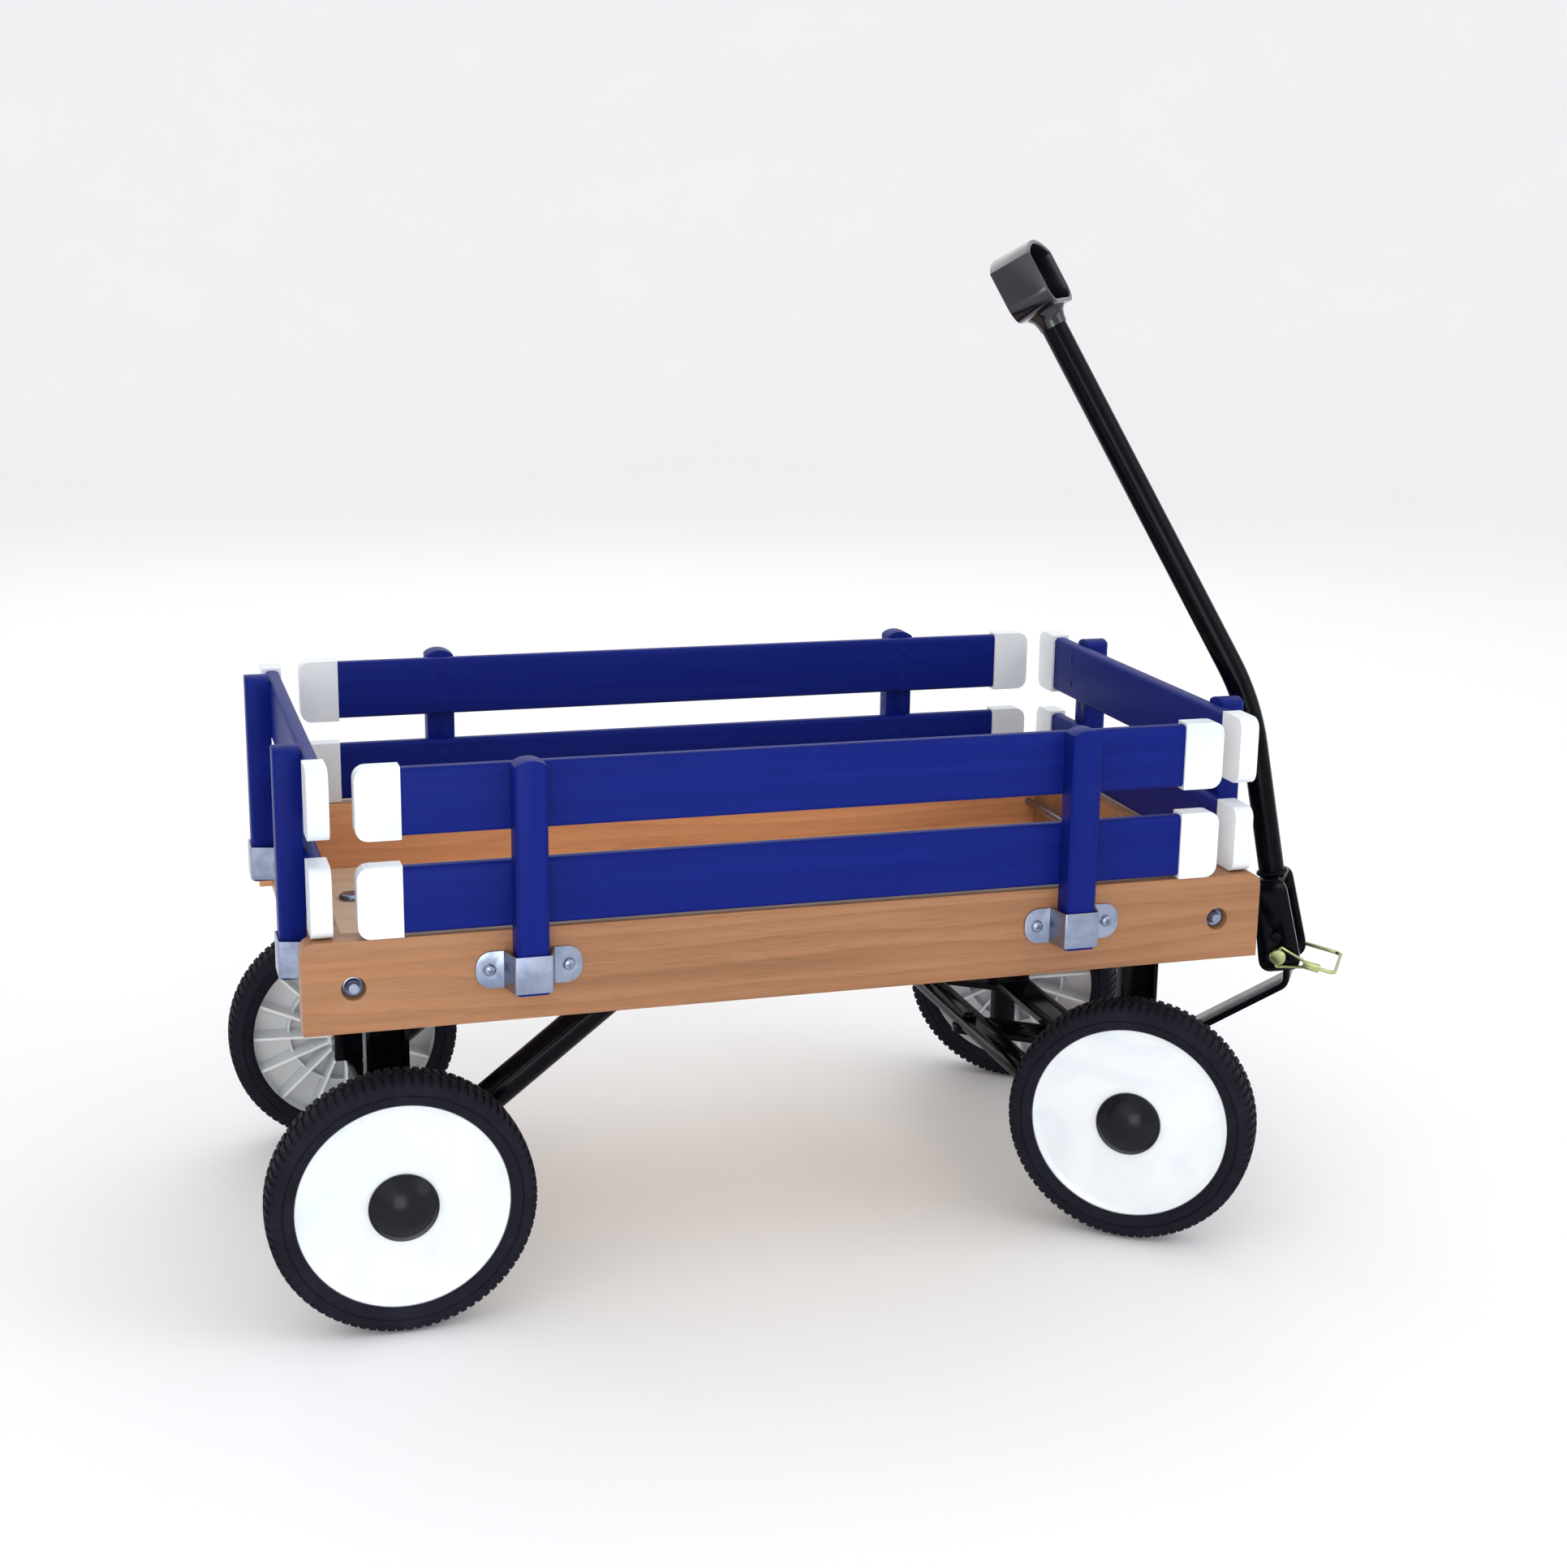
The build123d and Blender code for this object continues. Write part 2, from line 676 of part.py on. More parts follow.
with BuildPart() as floor_nuts:
    for points, plate in (
        (floor_bolt_points[:4], top_plate_thickness),
        (floor_bolt_points[4:], brace_tab_thickness),
    ):
        with BuildSketch(Plane.XY.offset(bed_underside - plate)):
            with Locations(*points):
                RegularPolygon(hex_radius(floor_nut_flats), 6)
                Circle(floor_bolt_diameter / 2, mode=Mode.SUBTRACT)
        extrude(amount=-floor_nut_height)
save(floor_nuts.part, "floor_nuts")

# ================================================================ kingpins and tongue pivot
sleeve_top = beam_underside - sleeve_play
sleeve_bottom = sleeve_top - sleeve_length
kingpin_nut_top = sleeve_bottom - sleeve_play
tongue_nut_top = arm_underside - sleeve_play

with BuildPart() as pivot_bolts:
    with BuildSketch(Plane.XY.offset(beam_top)):
        with Locations(*pivot_points):
            RegularPolygon(hex_radius(pivot_head_flats), 6)
    extrude(amount=pivot_head_height)
    for point, nut_top in zip(pivot_points, (kingpin_nut_top, tongue_nut_top, kingpin_nut_top)):
        with BuildSketch(Plane.XY.offset(beam_top)):
            with Locations(point):
                Circle(pivot_diameter / 2)
        extrude(amount=-(beam_top - nut_top + nut_height + bolt_end))
save(pivot_bolts.part, "pivot_bolts")


def lock_nut_profile(diameter):
    """Hexagon with a bore, for a nut."""
    RegularPolygon(hex_radius(nut_flats), 6)
    Circle(diameter / 2, mode=Mode.SUBTRACT)


with BuildPart() as lock_nuts:
    for point, nut_top in zip(pivot_points, (kingpin_nut_top, tongue_nut_top, kingpin_nut_top)):
        with BuildSketch(Plane.XY.offset(nut_top)):
            with Locations(point):
                lock_nut_profile(pivot_diameter)
        extrude(amount=-nut_height)
    for outward in (1, -1):
        seat = wheel_plane + nut_seat
        start = seat if outward == 1 else -seat - nut_height
        with BuildSketch(Plane.XZ.offset(start)):
            with Locations((rear_axle_x, axle_z)):
                lock_nut_profile(axle_diameter)
        extrude(amount=nut_height)
save(lock_nuts.part, "lock_nuts")


# ================================================================ steering knuckles
def knuckle():
    """Right-hand knuckle, straight ahead: kingpin sleeve, stub axle and steering arm."""
    stub_length = kingpin_offset + spindle_end
    shoulder = kingpin_offset - hub_barrel_inboard - shoulder_play
    with BuildPart() as body:
        with BuildSketch(Plane.XY.offset(sleeve_bottom)):
            with Locations((front_axle_x, -kingpin_y)):
                Circle(sleeve_diameter / 2)
        extrude(amount=sleeve_length)
        with BuildSketch(Plane.XZ.offset(kingpin_y)):
            with Locations((front_axle_x, axle_z)):
                Circle(axle_diameter / 2)
        extrude(amount=stub_length)
        chamfer(body.edges().group_by(Axis.Y)[0], 1)
        with BuildSketch(Plane.XZ.offset(kingpin_y + shoulder - axle_shoulder_length)):
            with Locations((front_axle_x, axle_z)):
                Circle(axle_shoulder_diameter / 2)
        extrude(amount=axle_shoulder_length)
        with BuildSketch(Plane.XY.offset(arm_underside)):
            with Locations((front_axle_x - arm_length / 2, -kingpin_y)):
                SlotCenterToCenter(arm_length, arm_width)
        extrude(amount=arm_thickness)
        with BuildSketch(Plane.XY.offset(sleeve_bottom)):
            with Locations((front_axle_x, -kingpin_y)):
                Circle(pivot_diameter / 2 + pivot_clearance)
        extrude(amount=sleeve_length, mode=Mode.SUBTRACT)
        with BuildSketch(Plane.XY.offset(arm_underside)):
            with Locations((front_axle_x - arm_length, -kingpin_y)):
                Circle(rivet_diameter / 2 + rivet_clearance)
        extrude(amount=arm_thickness, mode=Mode.SUBTRACT)
    return body.part


def spindle_nut():
    """Nut on the right-hand stub axle, straight ahead."""
    with BuildPart() as nut:
        with BuildSketch(Plane.XZ.offset(wheel_plane + nut_seat)):
            with Locations((front_axle_x, axle_z)):
                lock_nut_profile(axle_diameter)
        extrude(amount=nut_height)
    return nut.part


right_knuckle = knuckle()
right_nut = spindle_nut()
save(steered(right_knuckle, -kingpin_y), "right_knuckle")
save(steered(right_knuckle.mirror(Plane.XZ), kingpin_y), "left_knuckle")
save(steered(right_nut, -kingpin_y), "right_spindle_nut")
save(steered(right_nut.mirror(Plane.XZ), kingpin_y), "left_spindle_nut")

# ================================================================ tie rod
swing = radians(steer_rest)
tie_rod_x = front_axle_x - arm_length * cos(swing)
tie_rod_shift = arm_length * sin(swing)
tie_rod_pins = [(tie_rod_x, y + tie_rod_shift) for y in (-kingpin_y, 0, kingpin_y)]

with BuildPart() as tie_rod:
    with BuildSketch(Plane.XY.offset(tie_rod_z)):
        with Locations(Location((tie_rod_x, tie_rod_shift, 0), (0, 0, 90))):
            SlotCenterToCenter(2 * kingpin_y, tie_rod_width)
        with Locations(*tie_rod_pins):
            Circle(rivet_diameter / 2, mode=Mode.SUBTRACT)
    extrude(amount=tie_rod_thickness)
save(tie_rod.part, "tie_rod")

with BuildPart() as tie_rod_rivets:
    with BuildSketch(Plane.XY.offset(tie_rod_z + tie_rod_thickness)):
        with Locations(*tie_rod_pins):
            Circle(rivet_head_diameter / 2)
    extrude(amount=rivet_head_height)
    fillet(tie_rod_rivets.edges().group_by(Axis.Z)[-1], rivet_head_height * 0.85)
    rivet_tail_top = arm_underside - tie_rod_play
    with BuildSketch(Plane.XY.offset(tie_rod_z + tie_rod_thickness)):
        with Locations(*tie_rod_pins):
            Circle(rivet_diameter / 2)
    extrude(amount=-(tie_rod_z + tie_rod_thickness - rivet_tail_top))
    with BuildSketch(Plane.XY.offset(rivet_tail_top)):
        with Locations(*tie_rod_pins):
            Circle(rivet_head_diameter / 2)
    extrude(amount=-rivet_tail_height)
save(tie_rod_rivets.part, "tie_rod_rivets")

# ================================================================ tongue
bar_mid = arm_underside + tongue_thickness / 2
with BuildPart() as tongue:
    with BuildLine() as bar_path:
        FilletPolyline(
            (front_axle_x - tongue_tail, 0, bar_mid),
            (front_axle_x + tongue_knee, 0, bar_mid),
            (front_axle_x + tongue_front, 0, tongue_climb_top),
            (front_axle_x + tongue_front, 0, tongue_tip),
            radius=tongue_bend_radius,
        )
    with BuildSketch(Plane(origin=bar_path.line @ 0, x_dir=(0, 1, 0), z_dir=(1, 0, 0))):
        Rectangle(tongue_width, tongue_thickness)
    sweep()
    fillet(tongue.edges().filter_by(Axis.Z).group_by(Axis.X)[0], tongue_width * 0.38)
    with BuildSketch(Plane.XZ.offset(-tongue_width / 2)):
        with Locations((hinge_x, hinge_height)):
            Circle(eye_diameter / 2)
    extrude(amount=tongue_width)
    lug_face = hinge_x - stop_rivet_height * sin(radians(handle_lean))
    lug_face = lug_face - stop_rivet_diameter / 2 - stop_gap
    with BuildSketch(Plane.XZ.offset(-stop_lug_width / 2)):
        with Locations((lug_face - stop_lug_thickness / 2, hinge_height + stop_lug_height / 2)):
            Rectangle(stop_lug_thickness, stop_lug_height)
    extrude(amount=stop_lug_width)
    with BuildSketch(Plane.XZ.offset(-tongue_width / 2)):
        with Locations((hinge_x, hinge_height)):
            Circle(lock_pin_diameter / 2 + lock_pin_clearance)
    extrude(amount=tongue_width, mode=Mode.SUBTRACT)
    with BuildSketch(Plane.XY.offset(arm_underside)):
        with Locations((front_axle_x, 0)):
            Circle(pivot_diameter / 2 + pivot_clearance)
        with Locations((front_axle_x - arm_length, 0)):
            Circle(rivet_diameter / 2 + rivet_clearance)
    extrude(amount=tongue_thickness, mode=Mode.SUBTRACT)
save(steered(tongue.part), "tongue")


# ================================================================ handle
def on_hinge(shape, lean):
    """Carry a piece drawn about its hinge, upright, to the hinge and lean it back."""
    leaned = shape.rotate(Axis.Y, -lean)
    return steered(leaned.moved(Location((hinge_x, 0, hinge_height))))


with BuildPart() as handle_yoke:
    with BuildSketch(Plane.YZ.offset(-yoke_depth_low / 2)) as strap:
        with Locations((0, (yoke_head - yoke_foot) / 2)):
            Rectangle(2 * yoke_half, yoke_head + yoke_foot)
        fillet(strap.vertices().group_by(Axis.Z)[-1], yoke_bend_radius)
        with Locations((0, (yoke_head - yoke_foot) / 2 - yoke_plate)):
            Rectangle(yoke_gap, yoke_head + yoke_foot, mode=Mode.SUBTRACT)
    extrude(amount=yoke_depth_low)
    with BuildSketch(Plane.XZ.offset(-yoke_half)) as cheek:
        with BuildLine():
            Polyline(
                (-yoke_depth_low / 2, -yoke_foot),
                (yoke_depth_low / 2, -yoke_foot),
                (yoke_depth_low / 2, 0),
                (yoke_depth_top / 2, yoke_head),
                (-yoke_depth_top / 2, yoke_head),
                (-yoke_depth_low / 2, 0),
                close=True,
            )
        make_face()
        fillet(cheek.vertices().group_by(Axis.Z)[0], yoke_foot_radius)
    extrude(amount=2 * yoke_half, mode=Mode.INTERSECT)
    with BuildSketch(Plane.XZ.offset(-yoke_half)):
        Circle(lock_pin_diameter / 2 + lock_pin_clearance)
        with Locations((0, stop_rivet_height)):
            Circle(stop_rivet_diameter / 2)
    extrude(amount=2 * yoke_half, mode=Mode.SUBTRACT)
save(on_hinge(handle_yoke.part, handle_lean), "handle_yoke")

with BuildPart() as stop_rivet:
    with BuildSketch(Plane.XZ.offset(-yoke_half - stop_rivet_head_height)):
        with Locations((0, stop_rivet_height)):
            Circle(stop_rivet_head / 2)
    extrude(amount=stop_rivet_head_height)
    with BuildSketch(Plane.XZ.offset(yoke_half)):
        with Locations((0, stop_rivet_height)):
            Circle(stop_rivet_head / 2)
    extrude(amount=stop_rivet_head_height)
    for face in (0, -1):
        fillet(stop_rivet.faces().sort_by(Axis.Y)[face].edges(), stop_rivet_head_height * 0.8)
    with BuildSketch(Plane.XZ.offset(-yoke_half)):
        with Locations((0, stop_rivet_height)):
            Circle(stop_rivet_diameter / 2)
    extrude(amount=2 * yoke_half)
save(on_hinge(stop_rivet.part, handle_lean), "stop_rivet")

bend = radians(handle_bend)
upper_direction = Vector(-sin(bend), 0, cos(bend))
knee_point = Vector(0, 0, handle_knee)
grip_centre = knee_point + upper_direction * handle_upper
tube_top = grip_centre - upper_direction * (grip_along / 2)

with BuildPart() as handle_tube:
    with BuildLine() as tube_path:
        FilletPolyline((0, 0, yoke_head), knee_point, tube_top, radius=handle_bend_radius)
    with BuildSketch(Plane.XY.offset(yoke_head)):
        Circle(handle_tube_diameter / 2)
        Circle(handle_tube_diameter / 2 - handle_tube_wall, mode=Mode.SUBTRACT)
    sweep()
save(on_hinge(handle_tube.part, handle_lean), "handle_tube")

grip_plane = Plane(
    origin=grip_centre,
    x_dir=(0, 1, 0),
    z_dir=(cos(bend), 0, sin(bend)),
)
with BuildPart() as handle_grip:
    with BuildSketch(grip_plane.offset(-grip_depth / 2)):
        RectangleRounded(grip_across, grip_along, grip_corner_radius)
        RectangleRounded(
            grip_across - 2 * grip_strap,
            grip_along - 2 * grip_strap,
            grip_corner_radius - grip_strap,
            mode=Mode.SUBTRACT,
        )
    extrude(amount=grip_depth)
    fillet(handle_grip.faces().filter_by(lambda f: f.inner_wires()).edges(), 1.2)
save(on_hinge(handle_grip.part, handle_lean), "handle_grip")

# ================================================================ lock pin
pin_head_inner = yoke_half + pin_play
with BuildPart() as lock_pin:
    with BuildSketch(Plane.XZ.offset(pin_head_inner)):
        Circle(lock_pin_head_diameter / 2)
    extrude(amount=lock_pin_head_height)
    chamfer(lock_pin.edges().group_by(Axis.Y)[0], 0.8)
    with BuildSketch(Plane.XZ.offset(pin_head_inner)):
        Circle(lock_pin_diameter / 2)
    extrude(amount=-(pin_head_inner + yoke_half + lock_pin_tip))
    chamfer(lock_pin.edges().group_by(Axis.Y)[-1], 1.5)
    with BuildSketch(Plane.XY.offset(-lock_pin_head_diameter)):
        with Locations((0, -pin_head_inner - lock_pin_head_height / 2)):
            Circle(bail_wire / 2 + lock_pin_clearance)
    extrude(amount=2 * lock_pin_head_diameter, mode=Mode.SUBTRACT)
save(on_hinge(lock_pin.part, -bail_drop), "lock_pin")


bail_near = -(pin_head_inner + lock_pin_head_height / 2)
bail_far = yoke_half + lock_pin_tip / 2
crimp_middle = sleeve_crimp_start + sleeve_crimp_length / 2
with BuildPart() as lock_pin_bail:
    for side in (-1, 1):
        seat = (0, bail_near, side * lock_pin_head_diameter / 4)
        clear = side * (lock_pin_head_diameter / 2 + bail_wire / 2 + bail_head_gap)
        with BuildLine():
            FilletPolyline(
                seat,
                (0, bail_near, clear),
                (crimp_middle, bail_near, side * bail_wire / 4),
                radius=1.3,
            )
        with BuildSketch(Plane(origin=seat, x_dir=(1, 0, 0), z_dir=(0, 0, side))):
            Circle(bail_wire / 2)
        sweep()
    loop_start = (crimp_middle, bail_near, 0)
    with BuildLine():
        FilletPolyline(
            loop_start,
            (bail_reach, bail_near, 0),
            (bail_reach, bail_far, 0),
            (lock_pin_diameter / 2 + bail_gap, bail_far, 0),
            radius=bail_bend_radius,
        )
    with BuildSketch(Plane(origin=loop_start, x_dir=(0, 1, 0), z_dir=(1, 0, 0))):
        Rectangle(bail_wire, bail_wire)
    sweep()
    with BuildSketch(Plane.YZ.offset(sleeve_crimp_start)):
        with Locations((bail_near, 0)):
            RectangleRounded(bail_wire + 1.8, 2 * bail_wire + 1.6, 1.2)
    extrude(amount=sleeve_crimp_length)
save(on_hinge(lock_pin_bail.part, -bail_drop), "lock_pin_bail")


# ================================================================ wheels
def tyre():
    """Solid rubber tyre, its axle along Y, clasping the rim."""
    lip_face = tyre_width / 2 - 3
    with BuildPart() as ring:
        with BuildSketch() as section:
            with BuildLine():
                Polyline(
                    (rim_radius, 0),
                    (rim_radius, rim_width / 2),
                    (tyre_lip_radius, rim_width / 2),
                    (tyre_lip_radius, lip_face),
                )
                ThreePointArc(
                    (tyre_lip_radius, lip_face),
                    (tyre_lip_radius + 7, tyre_width / 2),
                    (wheel_radius - 5, tyre_width / 2 - 1.2),
                )
                ThreePointArc(
                    (wheel_radius - 5, tyre_width / 2 - 1.2),
                    (wheel_radius - 2, tyre_width / 2 - 3),
                    (wheel_radius - 0.8, tyre_width / 2 - 6),
                )
                ThreePointArc(
                    (wheel_radius - 0.8, tyre_width / 2 - 6),
                    (wheel_radius - 0.2, tyre_width / 4 - 3),
                    (wheel_radius, 0),
                )
                Line((wheel_radius, 0), (rim_radius, 0))
            make_face()
            mirror(about=Plane.XZ)
        revolve(axis=Axis.Y)
    return ring.part


def hub():
    """Moulded hub, outer plate towards +Y, ribbed on the inner side."""
    drum_inner = rim_radius - hub_drum_wall
    plate_inner = wheel_face - hub_plate_thickness
    barrel = hub_barrel_diameter / 2
    with BuildPart() as body:
        with BuildSketch(Plane.XZ.offset(-wheel_face)):
            Circle(rim_radius)
        extrude(amount=rim_width)
        with BuildSketch(Plane.XZ.offset(-plate_inner)):
            Circle(drum_inner)
            Circle(barrel, mode=Mode.SUBTRACT)
        extrude(amount=plate_inner + wheel_face, mode=Mode.SUBTRACT)
        with BuildSketch(Plane.XZ.offset(-plate_inner)):
            with PolarLocations((drum_inner + barrel) / 2, hub_ribs):
                Rectangle(drum_inner - barrel + 2, hub_rib_thickness)
        extrude(amount=plate_inner + wheel_face - hub_plate_thickness)
        with BuildSketch(Plane.XZ.offset(wheel_face)):
            Circle(barrel)
        extrude(amount=hub_barrel_inboard - wheel_face)
        with BuildSketch(Plane.XZ.offset(-wheel_face)):
            Circle(axle_diameter / 2 + bore_clearance)
        extrude(amount=wheel_face + hub_barrel_inboard, mode=Mode.SUBTRACT)
    return body.part


def dome(radius, height):
    """Solid of revolution about Y: a short skirt under a spherical dome, on the hub's face."""
    rise = height - cap_skirt
    with BuildPart() as body:
        with BuildSketch():
            with BuildLine():
                Polyline(
                    (0, wheel_face + height),
                    (0, wheel_face),
                    (radius, wheel_face),
                    (radius, wheel_face + cap_skirt),
                )
                RadiusArc(
                    (radius, wheel_face + cap_skirt),
                    (0, wheel_face + height),
                    -(radius**2 + rise**2) / (2 * rise),
                )
            make_face()
        revolve(axis=Axis.Y)
    return body.part


def hub_cap():
    """Domed cap over the axle nut, towards +Y."""
    with BuildPart() as cap:
        add(dome(cap_radius, cap_height))
        add(dome(cap_radius - cap_wall_thickness, cap_height - cap_wall_thickness), mode=Mode.SUBTRACT)
    return cap.part


def place_wheel(shape, end, side):
    """Carry a wheel piece to its corner of the wagon; front wheels stand steered."""
    x = rear_axle_x if end == "rear" else front_axle_x
    outward = 1 if side == "left" else -1
    turned = shape if side == "left" else shape.rotate(Axis.Z, 180)
    placed = turned.moved(Location((x, outward * wheel_plane, axle_z)))
    return placed if end == "rear" else steered(placed, outward * kingpin_y)


wheel_pieces = {"tyre": tyre(), "hub": hub(), "hub_cap": hub_cap()}
for end in ("front", "rear"):
    for side in ("right", "left"):
        for kind, shape in wheel_pieces.items():
            save(place_wheel(shape, end, side), f"{end}_{side}_{kind}")
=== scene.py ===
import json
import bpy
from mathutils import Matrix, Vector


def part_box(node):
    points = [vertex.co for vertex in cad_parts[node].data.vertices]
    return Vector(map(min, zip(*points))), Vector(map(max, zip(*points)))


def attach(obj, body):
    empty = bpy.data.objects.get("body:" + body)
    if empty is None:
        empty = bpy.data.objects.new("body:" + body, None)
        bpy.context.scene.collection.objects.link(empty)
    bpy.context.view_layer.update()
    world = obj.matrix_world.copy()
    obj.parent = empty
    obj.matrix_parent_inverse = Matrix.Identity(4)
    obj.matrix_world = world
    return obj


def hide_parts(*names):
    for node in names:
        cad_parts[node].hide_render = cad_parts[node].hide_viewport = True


bl_info = {
    "name": "Pull Wagon Finish",
    "version": (1, 0, 0),
    "blender": (4, 5, 0),
    "location": "View3D > Sidebar > Wagon",
    "description": "Detailed pieces and materials for a wooden pull wagon on its packed CAD frame",
    "category": "Object",
}

from math import asin, atan2, cos, pi, radians, sin, sqrt, tau

import bmesh
import bpy
from bpy.props import FloatProperty, FloatVectorProperty, IntProperty, PointerProperty
from mathutils import Matrix, Vector

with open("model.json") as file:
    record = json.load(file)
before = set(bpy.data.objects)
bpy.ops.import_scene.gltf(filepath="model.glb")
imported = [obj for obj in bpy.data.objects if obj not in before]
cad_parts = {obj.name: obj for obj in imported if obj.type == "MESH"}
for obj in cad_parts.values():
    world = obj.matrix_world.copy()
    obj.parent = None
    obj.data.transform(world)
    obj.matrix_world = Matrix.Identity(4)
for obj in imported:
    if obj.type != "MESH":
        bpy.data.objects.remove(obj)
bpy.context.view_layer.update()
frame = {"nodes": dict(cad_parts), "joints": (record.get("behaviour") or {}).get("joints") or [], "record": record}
NODES = frame["nodes"]
JOINTS = {joint["name"]: joint for joint in frame["joints"]}
BODY_OF = {
    node: body
    for body, members in frame["record"]["behaviour"]["bodies"].items()
    for node in members
}
SIDES = ("right", "left", "front", "rear")
WHEELS = tuple((end, side) for end in ("front", "rear") for side in ("right", "left"))
UP = Vector((0, 0, 1))


# ---------------------------------------------------------------- sizes and colours
class WagonSizes(bpy.types.PropertyGroup):
    board_ease: FloatProperty(
        name="Board edge",
        description="Radius sanded on the edges of the bed boards",
        default=0.0016,
        min=0.0,
        unit="LENGTH",
    )
    slat_ease: FloatProperty(
        name="Slat edge",
        description="Radius on the long edges of the painted slats",
        default=0.0036,
        min=0.0,
        unit="LENGTH",
    )
    stake_ease: FloatProperty(
        name="Stake edge",
        description="Radius on the edges of the painted stakes",
        default=0.0011,
        min=0.0,
        unit="LENGTH",
    )
    cap_ease: FloatProperty(
        name="Cap edge",
        description="Radius on the long edges of the moulded end caps",
        default=0.0052,
        min=0.0,
        unit="LENGTH",
    )
    plate_ease: FloatProperty(
        name="Plate edge",
        description="Radius on the edges of bent and sheared steel",
        default=0.0005,
        min=0.0,
        unit="LENGTH",
    )
    lug_count: IntProperty(
        name="Lugs",
        description="Tread lugs in each of the two rows round a tyre",
        default=88,
        min=12,
    )
    lug_height: FloatProperty(
        name="Lug height",
        description="Depth of the grooves between the tread lugs",
        default=0.0015,
        unit="LENGTH",
    )
    hub_rib_count: IntProperty(
        name="Hub ribs",
        description="Ribs behind the plate of each hub",
        default=16,
        min=3,
    )
    screw_recess: FloatProperty(
        name="Screw recess",
        description="Depth of the cross recess in a screw head",
        default=0.0014,
        unit="LENGTH",
    )
    weld_bead: FloatProperty(
        name="Weld bead",
        description="Radius of the weld beads on the handle and the tongue",
        default=0.0018,
        unit="LENGTH",
    )


class WagonColours(bpy.types.PropertyGroup):
    board_light: FloatVectorProperty(
        name="Board, light",
        description="Early wood of the varnished boards",
        subtype="COLOR",
        default=(0.375, 0.178, 0.084),
    )
    board_dark: FloatVectorProperty(
        name="Board, dark",
        description="Late wood of the varnished boards",
        subtype="COLOR",
        default=(0.19, 0.078, 0.03),
    )
    panel_light: FloatVectorProperty(
        name="Floor, light",
        description="Pale veneer of the floor panel",
        subtype="COLOR",
        default=(0.86, 0.64, 0.45),
    )
    panel_dark: FloatVectorProperty(
        name="Floor, dark",
        description="Grain lines of the floor panel",
        subtype="COLOR",
        default=(0.72, 0.49, 0.31),
    )
    blue_paint: FloatVectorProperty(
        name="Blue paint",
        description="Paint on the slats and stakes",
        subtype="COLOR",
        default=(0.0034, 0.0112, 0.158),
    )
    blue_edge: FloatVectorProperty(
        name="Blue paint, thin",
        description="Paint where it is thin over the grain",
        subtype="COLOR",
        default=(0.0075, 0.021, 0.215),
    )
    white_cap: FloatVectorProperty(
        name="White caps",
        description="Moulded end caps of the slats",
        subtype="COLOR",
        default=(0.80, 0.83, 0.85),
    )
    white_hub: FloatVectorProperty(
        name="White hubs",
        description="Moulded wheel hubs",
        subtype="COLOR",
        default=(0.83, 0.85, 0.855),
    )
    black_paint: FloatVectorProperty(
        name="Black steel",
        description="Powder coat on the running gear and the handle",
        subtype="COLOR",
        default=(0.0022, 0.0021, 0.004),
    )
    rubber: FloatVectorProperty(
        name="Rubber",
        description="Tyre rubber",
        subtype="COLOR",
        default=(0.0085, 0.008, 0.014),
    )
    zinc: FloatVectorProperty(
        name="Zinc",
        description="Bright zinc plate on pockets and fasteners",
        subtype="COLOR",
        default=(0.33, 0.37, 0.48),
    )
    yellow_zinc: FloatVectorProperty(
        name="Yellow zinc",
        description="Yellow plate on the lock pin and its bail",
        subtype="COLOR",
        default=(0.52, 0.55, 0.24),
    )


class WagonStage(bpy.types.PropertyGroup):
    floor_reach: FloatProperty(
        name="Floor",
        description="Radius of the flat part of the pale floor",
        default=5.0,
        unit="LENGTH",
    )
    key_power: FloatProperty(
        name="Key light",
        description="Strength of the large soft light over the left shoulder",
        default=8.0,
        unit="POWER",
    )
    fill_power: FloatProperty(
        name="Fill light",
        description="Strength of the softer lights in front, behind and on the other side",
        default=13.0,
        unit="POWER",
    )
    eye: FloatVectorProperty(
        name="Eye",
        description="Place of the camera",
        subtype="XYZ",
        unit="LENGTH",
        default=(-0.4711, -1.6581, 0.7589),
    )
    lens: FloatProperty(
        name="Lens",
        description="Focal length of the camera on a 36 mm sensor",
        default=53.08,
        unit="CAMERA",
    )


# ---------------------------------------------------------------- shader maths
class Socket:
    """A node socket that takes part in Python arithmetic."""

    def __init__(self, paint, socket):
        self.paint = paint
        self.socket = socket

    def _maths(self, operation, other, swapped=False):
        pair = (other, self) if swapped else (self, other)
        return self.paint.add("ShaderNodeMath", {"operation": operation}, {0: pair[0], 1: pair[1]})

    def __add__(self, other):
        return self._maths("ADD", other)

    __radd__ = __add__

    def __sub__(self, other):
        return self._maths("SUBTRACT", other)

    def __rsub__(self, other):
        return self._maths("SUBTRACT", other, True)

    def __mul__(self, other):
        return self._maths("MULTIPLY", other)

    __rmul__ = __mul__

    def __truediv__(self, other):
        return self._maths("DIVIDE", other)

    def __pow__(self, other):
        return self._maths("POWER", other)

    def clamped(self, low, high):
        """This value carried from low..high to 0..1, held at both ends."""
        return self.paint.add(
            "ShaderNodeMapRange",
            {"clamp": True, "interpolation_type": "SMOOTHSTEP"},
            {"Value": self, "From Min": low, "From Max": high},
        )


